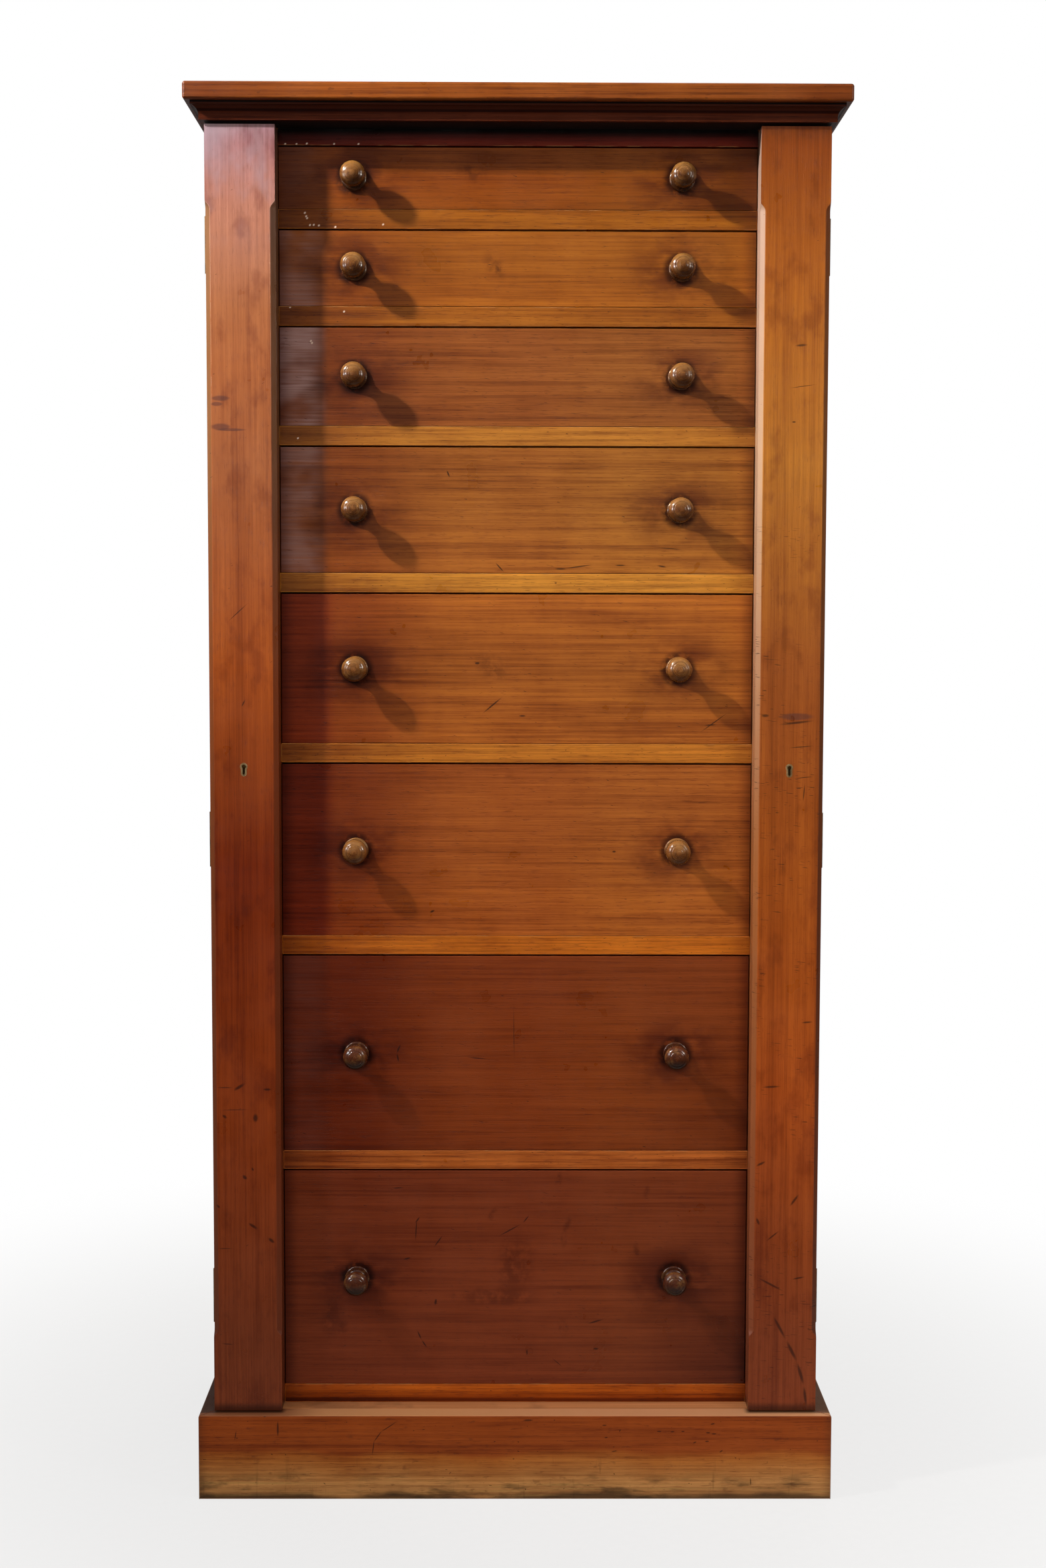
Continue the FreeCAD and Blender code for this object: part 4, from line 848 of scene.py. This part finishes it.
# Marks on each flap: where each starts and ends as x and z, and its width, in millimetres.
FLAP_MARKS = {
    "left": [
        ((-311, 956), (-285, 980), 0.8),
        ((-295, 867), (-291, 875), 1.2),
        ((-306, 451), (-295, 458), 2.6),
        ((-283, 423), (-283, 418), 4.0),
        ((-291, 304), (-282, 298), 2.4),
        ((-269, 287), (-264, 283), 2.6),
        ((-327, 454), (-305, 454), 0.8),
        ((-274, 452), (-266, 452), 2.0),
        ((-318, 423), (-315, 421), 2.2),
        ((-296, 356), (-294, 354), 2.8),
        ((-287, 365), (-286, 363), 1.6),
        ((-326, 324), (-323, 322), 2.0),
        ((-327, 276), (-307, 276), 0.7),
        ((-323, 170), (-307, 169), 0.8),
        ((-326, 429), (-284, 430), 0.6),
    ],
    "right": [
        ((294, 1251), (307, 1252), 1.9),
        ((292, 1171), (295, 1171), 1.5),
        ((285, 1206), (320, 1211), 0.7),
        ((263, 859), (270, 859), 2.4),
        ((278, 849), (322, 854), 2.0),
        ((289, 824), (322, 827), 0.9),
        ((295, 791), (322, 794), 0.8),
        ((310, 788), (308, 764), 1.0),
        ((266, 455), (289, 456), 1.7),
        ((309, 526), (322, 527), 1.5),
        ((262, 368), (272, 373), 2.0),
        ((299, 323), (309, 337), 2.0),
        ((263, 310), (266, 303), 2.2),
        ((273, 284), (289, 297), 1.3),
        ((263, 245), (295, 228), 1.8),
        ((302, 242), (317, 245), 1.5),
        ((282, 202), (297, 174), 2.4),
        ((297, 174), (309, 150), 2.8),
        ((309, 150), (317, 123), 2.8),
        ((317, 123), (320, 99), 2.4),
    ],
}
FLAP_STAINS = {
    "left": [
        ((-324, 1194), (-306, 1194), 3.6),
        ((-324, 1188), (-314, 1188), 3.0),
        ((-324, 1164), (-306, 1164), 4.6),
        ((-322, 1161), (-286, 1161), 2.0),
    ],
    "right": [((282, 858), (318, 858), 5.0)],
}
# Chamfer colours paint light and shade: those facing left are painted lighter, the right inner one with a
# lilac painted sheen, and those facing right darker.
INNER_CHAMFER_LIT_AND_SHADED = {
    "left": [(180, (112, 52, 28)), (900, (131, 60, 22)), (1150, (115, 75, 40)), (1400, (102, 69, 42))],
    "right": [(180, (148, 81, 53)), (700, (174, 110, 62)), (1100, (204, 169, 138)), (1400, (196, 168, 150))],
}
OUTER_CHAMFER_LIT_AND_SHADED = {
    "left": [(180, (126, 64, 35)), (900, (141, 73, 29)), (1150, (145, 95, 52)), (1400, (136, 94, 56))],
    "right": [(180, (102, 50, 28)), (700, (105, 50, 18)), (1100, (132, 74, 27)), (1400, (120, 60, 17))],
}
CHAMFER_REACH = 8.2
CHAMFER_EASE = 0.6
# Where each flap's arris is rubbed nearly white and painted as a highlight.
GLINTING_ARRIS = {"left": (1180, 1420), "right": None}
FLAP_SHIFT = {"left": 51.0, "right": 57.0}
flap_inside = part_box("flap_right")[0].x
flap_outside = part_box("flap_right")[1].x
chamfer_start = CHAMFER_REACH * MM
chamfer_full = (CHAMFER_REACH - CHAMFER_EASE) * MM
for side in ("left", "right"):
    flap = mahogany(f"flap_{side}_mahogany", FLAP_FADE[side], along="z", shift=FLAP_SHIFT[side], strength=0.6)
    clouds = flap.span(flap.cloud((26.0, 26.0, 48.0), 4.0, 6.0), 0.5, 0.7)
    flap.stain(paint(150, 92, 92), clouds, 0.4)
    if side == "left":
        # Bloom with a painted sheen near the top of the left flap.
        patches = flap.span(flap.cloud((30.0, 30.0, 44.0), 3.0, 8.0), 0.38, 0.62)
        top_bloom_and_sheen = flap.times(patches, flap.span(flap.z, 1.32, 1.46))
        flap.cover(paint(172, 142, 148), top_bloom_and_sheen, 0.55)
        corner_haze_and_sheen = flap.times(flap.span(flap.x, -0.292, -0.326), flap.span(flap.z, 1.41, 1.47))
        flap.cover(paint(184, 164, 176), corner_haze_and_sheen, 0.45)
    behind = flap.span(flap.y, FLAP_FACE + 0.0004, FLAP_FACE + 0.0012)
    inner = flap.span(flap.side, flap_inside + chamfer_start, flap_inside + chamfer_full)
    outer = flap.span(flap.side, flap_outside - chamfer_start, flap_outside - chamfer_full)
    flap.cover(flap.fade(INNER_CHAMFER_LIT_AND_SHADED[side]), inner, behind, 0.8)
    flap.cover(flap.fade(OUTER_CHAMFER_LIT_AND_SHADED[side]), outer, behind, 0.85)
    for start, end, width in FLAP_STAINS[side]:
        stain = flap.span(flap.stroke(start, end, width, FLAP_FACE), 0.05, 0.5)
        flap.cover(paint(84, 50, 52), stain, 0.6)
    nicks = flap.span(flap.cloud((7.0, 7.0, 1.3), 1.0, 9.0, radians(-25)), 0.78, 0.83)
    if side == "right":
        knocked = flap.times(
            flap.span(flap.cloud((12.0, 12.0, 1.1), 1.0, 4.0, radians(4)), 0.66, 0.72),
            flap.span(flap.cloud((60.0, 60.0, 60.0), 1.0, 5.0), 0.40, 0.60),
            flap.span(flap.z, 1.10, 1.03),
        )
        nicks = flap.sum("MAXIMUM", nicks, knocked)
    scored = flap.scored(nicks, FLAP_MARKS[side], FLAP_FACE)
    flap.cover(paint(44, 18, 12), scored, 0.75)
    # Painted shade at each flap's foot, over the ledge.
    foot = flap.span(flap.z, 0.106, 0.097)
    flap.cover(paint(40, 20, 14), foot, 0.7)
    flap.height = flap.sum("SUBTRACT", flap.height, scored)
    arris = rubbed(f"flap_{side}_arris", FLAP_FADE[side], GLINTING_ARRIS[side])
    dress(f"flap_{side}", polish(flap), arris, rounding=1.3)


# Brass: a thread escutcheon pressed into each keyhole, a lock let into the back of each flap, a link plate on
# each stile, and three butt hinges a flap. The brass is dull and brown, and bright only where it is rubbed.
def aged_brass(name, bright, dull, tarnish):
    """Old brass: bright and dull patches, dark specks where it has tarnished, and marks of the file."""
    brass = Finish(name)
    breath = brass.cloud((14.0, 14.0, 14.0), 4.0, 2.0)
    brushed = brass.cloud((0.5, 0.5, 12.0), 2.0, 5.0)
    brass.colour = brass.tones(breath, (0.36, paint(*dull)), (0.62, paint(*bright)))
    specks = brass.cloud((2.2, 2.2, 2.2), 3.0, 4.0)
    brass.cover(paint(62, 44, 24), brass.span(specks, 0.5, 0.68), tarnish)
    brass.cover(paint(84, 60, 32), brass.span(breath, 0.5, 0.36), tarnish)
    brass.height = brass.sum("ADD", brushed, breath)
    gloss = brass.ramp(breath, 0.3, 0.7, 0.52, 0.34)
    return brass.close(gloss, 0.0001, Metallic=0.65)


keyhole_brass = aged_brass("keyhole_brass", (212, 182, 134), (168, 138, 92), 0.3)
hinge_brass = aged_brass("hinge_brass", (160, 118, 64), (112, 78, 40), 0.5)
lock_brass = aged_brass("lock_brass", (172, 130, 72), (124, 90, 46), 0.45)
rubbed_brass = aged_brass("rubbed_brass", (216, 178, 112), (184, 144, 84), 0.15)
for side in ("left", "right"):
    dress(f"escutcheon_{side}", keyhole_brass)
    dress(f"lock_case_{side}", lock_brass)
    dress(f"lock_bolt_{side}", rubbed_brass)
    dress(f"hinge_flap_leaves_{side}", hinge_brass)
dress("link_plates", lock_brass)
dress("hinge_carcass_leaves_and_pins", hinge_brass)


# Screws: slotted brass screws with flat heads let in flush, three to a hinge leaf, four to a lock plate and
# two to a link plate. No two slots stand quite alike.
SCREW_RADIUS = 2.4
SCREW_SINK = 1.2
SCREW_PROUD = 0.1
SLOT_WIDTH = 0.7
SLOT_REACH = 2.1
SLOT_DEPTH = 0.7
SLOT_TURN = 47.0
HEAD_SIDES = 24
HINGE_FEET = (185.0, 692.0, 1328.9)
HINGE_SCREWS = ((318.2, 10.0), (321.8, 30.0), (318.2, 50.0))
LOCK_SCREWS = ((-9.0, -27.3), (9.0, -27.3), (-9.0, 27.3), (9.0, 27.3))
LINK_SCREWS = (-8.4, 8.4)


def new_points(made):
    """The points among what a bmesh operator made."""
    return [point for point in made["geom"] if isinstance(point, bmesh.types.BMVert)]


def screw_head():
    """One head in millimetres, face up at the origin, with its slot along y."""
    head = bmesh.new()
    bmesh.ops.create_circle(head, cap_ends=True, radius=SCREW_RADIUS, segments=HEAD_SIDES)
    for across, reach in ((Vector((1, 0, 0)), SLOT_WIDTH / 2), (Vector((0, 1, 0)), SLOT_REACH)):
        for place in (across * -reach, across * reach):
            everything = head.verts[:] + head.edges[:] + head.faces[:]
            bmesh.ops.bisect_plane(head, geom=everything, plane_co=place, plane_no=across)
    slot = [face for face in head.faces if face.calc_center_median().length < SLOT_WIDTH / 4]
    sunk = bmesh.ops.extrude_face_region(head, geom=slot)
    bmesh.ops.translate(head, verts=new_points(sunk), vec=(0, 0, -SLOT_DEPTH))
    bmesh.ops.delete(head, geom=[face for face in slot if face.is_valid], context="FACES_ONLY")
    skirt = bmesh.ops.extrude_edge_only(head, edges=[edge for edge in head.edges if edge.is_boundary])
    bmesh.ops.translate(head, verts=new_points(skirt), vec=(0, 0, -SCREW_SINK))
    bmesh.ops.holes_fill(head, edges=[edge for edge in head.edges if edge.is_boundary], sides=0)
    made = bpy.data.meshes.new("screw_head")
    head.to_mesh(made)
    head.free()
    return made


screw = screw_head()
screw_brass = aged_brass("screw_brass", (224, 190, 122), (170, 132, 72), 0.35)


def drive_screws(name, body, rows):
    """Drives a screw at each row: x and z in millimetres, depth y in metres and the way it looks along y."""
    driven = bmesh.new()
    for index, (x, z, face, outward) in enumerate(rows):
        earlier = set(driven.verts)
        driven.from_mesh(screw)
        seat = Matrix.Translation((x * MM, face + outward * SCREW_PROUD * MM, z * MM))
        seat = seat @ Matrix.Rotation(radians(-90) * outward, 4, "X")
        seat = seat @ Matrix.Rotation(radians(SLOT_TURN * index), 4, "Z") @ Matrix.Scale(MM, 4)
        added = [point for point in driven.verts if point not in earlier]
        bmesh.ops.transform(driven, matrix=seat, verts=added)
    finished_piece(name, driven, screw_brass, body, sharp=30.0)


lock_low, lock_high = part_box("lock_case_right")
link_low, link_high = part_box("link_plates")
FLAP_BACK = lock_high.y
STILE_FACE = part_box("carcass_side_right")[0].y
lock_middle = ((lock_low.x + lock_high.x) / 2 / MM, (lock_low.z + lock_high.z) / 2 / MM)
link_level = (link_low.z + link_high.z) / 2 / MM
for side, hand in (("right", 1), ("left", -1)):
    leaf = [(hand * x, foot + up) for foot in HINGE_FEET for x, up in HINGE_SCREWS]
    lock = [(hand * (lock_middle[0] + x), lock_middle[1] + up) for x, up in LOCK_SCREWS]
    link = [(hand * lock_middle[0], link_level + up) for up in LINK_SCREWS]
    drive_screws(f"flap_screws_{side}", f"flap_{side}", [(x, z, FLAP_BACK, 1) for x, z in leaf + lock])
    drive_screws(f"carcass_screws_{side}", "carcass", [(x, z, STILE_FACE, -1) for x, z in leaf + link])
bpy.data.meshes.remove(screw)


# Floor and light: a pale studio floor that fades out into white paper. Small lamps at the upper left and
# right throw the knobs' crisp shadows, two glints show only in the polish, a pale window stands behind the
# camera, and wide lamps in front and behind soften the rest.
FLOOR_RADIUS = 1.4
FLOOR_SIDES = 96
FLOOR_FADES = (0.38, 1.3)
FLOOR_WHITENESS = 0.78
ground = bmesh.new()
bmesh.ops.create_circle(ground, cap_ends=True, radius=FLOOR_RADIUS, segments=FLOOR_SIDES)
floor_mesh = bpy.data.meshes.new("studio_floor")
ground.to_mesh(floor_mesh)
ground.free()
floor = bpy.data.objects.new("studio_floor", floor_mesh)
bpy.context.scene.collection.objects.link(floor)
paper = Finish("studio_floor_paper")
fibres = paper.cloud((12.0, 12.0, 12.0), 3.0)
paper.colour = paper.tones(fibres, (0.3, paint(206, 204, 201)), (0.7, paint(214, 212, 209)))
paper.height = fibres
paper.close(paper.ramp(fibres, 0.0, 1.0, 0.7, 0.85), Specular_IOR_Level=0.1)
gone = paper.lay("BsdfTransparent", {"Color": (1, 1, 1, 1)})
glow = paper.lay("Emission", {"Color": (1, 1, 1, 1), "Strength": 1.0})
seen_share = paper.times(paper.lay("LightPath", {}, "Is Camera Ray"), FLOOR_WHITENESS)
lit = paper.lay("MixShader", {0: seen_share, 1: paper.shader.outputs[0], 2: glow})
far = paper.span(paper.reach(paper.x, paper.y), *FLOOR_FADES)
fading = paper.lay("MixShader", {0: far, 1: lit, 2: gone})
paper.tree.links.new(fading, paper.tree.nodes["Material Output"].inputs["Surface"])
floor_mesh.materials.append(paper.material)
floor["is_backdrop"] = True

AMBIENT = 0.36
AMBIENT_BELOW = 0.05
ROOM_GLOW = 0.025
CEILING_GLOW = 0.4
PAPER_GLOW = 0.22
world = bpy.data.worlds.new("studio")
bpy.context.scene.world = world
world.use_nodes = True
sky = world.node_tree
sky.nodes.clear()
hang = partial(lay, sky)


def brightness(way, low, high, first, last):
    """How bright the surroundings are: eases from first to last as the way looked goes from low to high."""
    return hang("MapRange", {0: way, 1: low, 2: high, 3: first, 4: last}, interpolation_type="SMOOTHSTEP")


# The white paper hangs behind the chest, so polish and brass mirror it there, and a dim room in front.
way = hang("SeparateXYZ", {0: hang("TexCoord", {}, "Generated")}).node.outputs
overhead = brightness(way["Z"], -0.35, 0.35, AMBIENT_BELOW, AMBIENT)
paper_behind = brightness(way["Y"], -0.3, 0.6, ROOM_GLOW, PAPER_GLOW)
ceiling = brightness(way["Z"], 0.45, 0.85, 0.0, CEILING_GLOW)
brighter = hang("Math", {0: paper_behind, 1: ceiling}, operation="MAXIMUM")
fill = hang("Background", {"Color": (1.0, 0.92, 0.82, 1), "Strength": overhead})
surroundings = hang("Background", {"Color": (1, 1, 1, 1), "Strength": brighter})
white = hang("Background", {"Color": (1, 1, 1, 1), "Strength": 1.0})
path = hang("LightPath", {}).node.outputs
shiny = hang("Math", {0: path["Is Glossy Ray"], 1: path["Is Transmission Ray"]}, operation="MAXIMUM")
reflected = hang("MixShader", {0: shiny, 1: fill, 2: surroundings})
seen = hang("MixShader", {0: path["Is Camera Ray"], 1: reflected, 2: white})
sky.links.new(seen, sky.nodes.new("ShaderNodeOutputWorld").inputs["Surface"])


def lamp(name, place, aim, power, width, height, colour, spread=180.0, mirrored=True, lighting=True):
    """A flat lamp at a place, turned to what it is aimed at. A lamp that isn't mirrored leaves no glint in
    polish, and one that isn't lighting leaves only its glint."""
    light = bpy.data.lights.new(name, "AREA")
    light.shape = "RECTANGLE"
    light.size = width
    light.size_y = height
    light.energy = power
    light.color = colour
    light.spread = radians(spread)
    shining = bpy.data.objects.new(name, light)
    shining.location = place
    shining.rotation_euler = (Vector(aim) - Vector(place)).to_track_quat("-Z", "Y").to_euler()
    shining.visible_camera = False
    shining.visible_glossy = mirrored
    shining.visible_diffuse = lighting
    bpy.context.scene.collection.objects.link(shining)


lamp("key_lamp", (-1.70, -0.975, 2.47), (-0.1, -0.2, 1.5), 7.4, 0.12, 0.12, (1.0, 0.98, 0.95), 56.0)
lamp("right_lamp", (1.65, -1.3, 1.9), (0.0, -0.2, 0.8), 4.5, 0.25, 0.25, (1.0, 0.98, 0.95))
lamp("left_glint", (-1.75, -1.2, 1.36), (0.0, -0.2, 0.8), 17.0, 0.26, 0.26, (0.95, 0.97, 1.0), lighting=False)
lamp("right_glint", (1.7, -1.25, 1.38), (0.0, -0.2, 0.8), 10.0, 0.22, 0.22, (1.0, 0.95, 0.86), lighting=False)
lamp("front_fill", (0.3, -3.4, 1.3), (0.0, -0.2, 0.8), 21.0, 1.4, 1.8, (1.0, 0.93, 0.84), mirrored=False)
lamp("back_fill", (1.4, 3.2, 1.9), (0.0, 0.2, 0.8), 16.0, 1.4, 1.4, (1.0, 0.96, 0.92), mirrored=False)
lamp("window", (-0.66, -3.6, 1.75), (-0.2, -0.2, 1.1), 0.9, 0.5, 0.9, (1.0, 0.97, 0.94))


# Camera: as the photograph was taken, two and a quarter metres in front of the chest, a little over the
# middle of its height and tipped down by a few degrees.
CAMERA_PLACE = Vector((-8.4, -2431.6, 946.2)) * MM
CAMERA_TILT = radians(4.15)
CAMERA_YAW = radians(0.39)
CAMERA_ROLL = radians(0.15)
FRAME_HEIGHT = 2350
FOCAL_PIXELS = 3107
SENSOR = 36.0
camera_data = bpy.data.cameras.new("camera")
camera_data.sensor_width = SENSOR
camera_data.lens = SENSOR * FOCAL_PIXELS / FRAME_HEIGHT
camera = bpy.data.objects.new("camera", camera_data)
bpy.context.scene.collection.objects.link(camera)
camera.matrix_world = (
    Matrix.Translation(CAMERA_PLACE)
    @ Matrix.Rotation(-CAMERA_YAW, 4, "Z")
    @ Matrix.Rotation(radians(90) - CAMERA_TILT, 4, "X")
    @ Matrix.Rotation(CAMERA_ROLL, 4, "Z")
)
bpy.context.scene.camera = camera
bpy.context.scene.view_settings.view_transform = "Standard"

bpy.context.view_layer.update()
low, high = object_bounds()
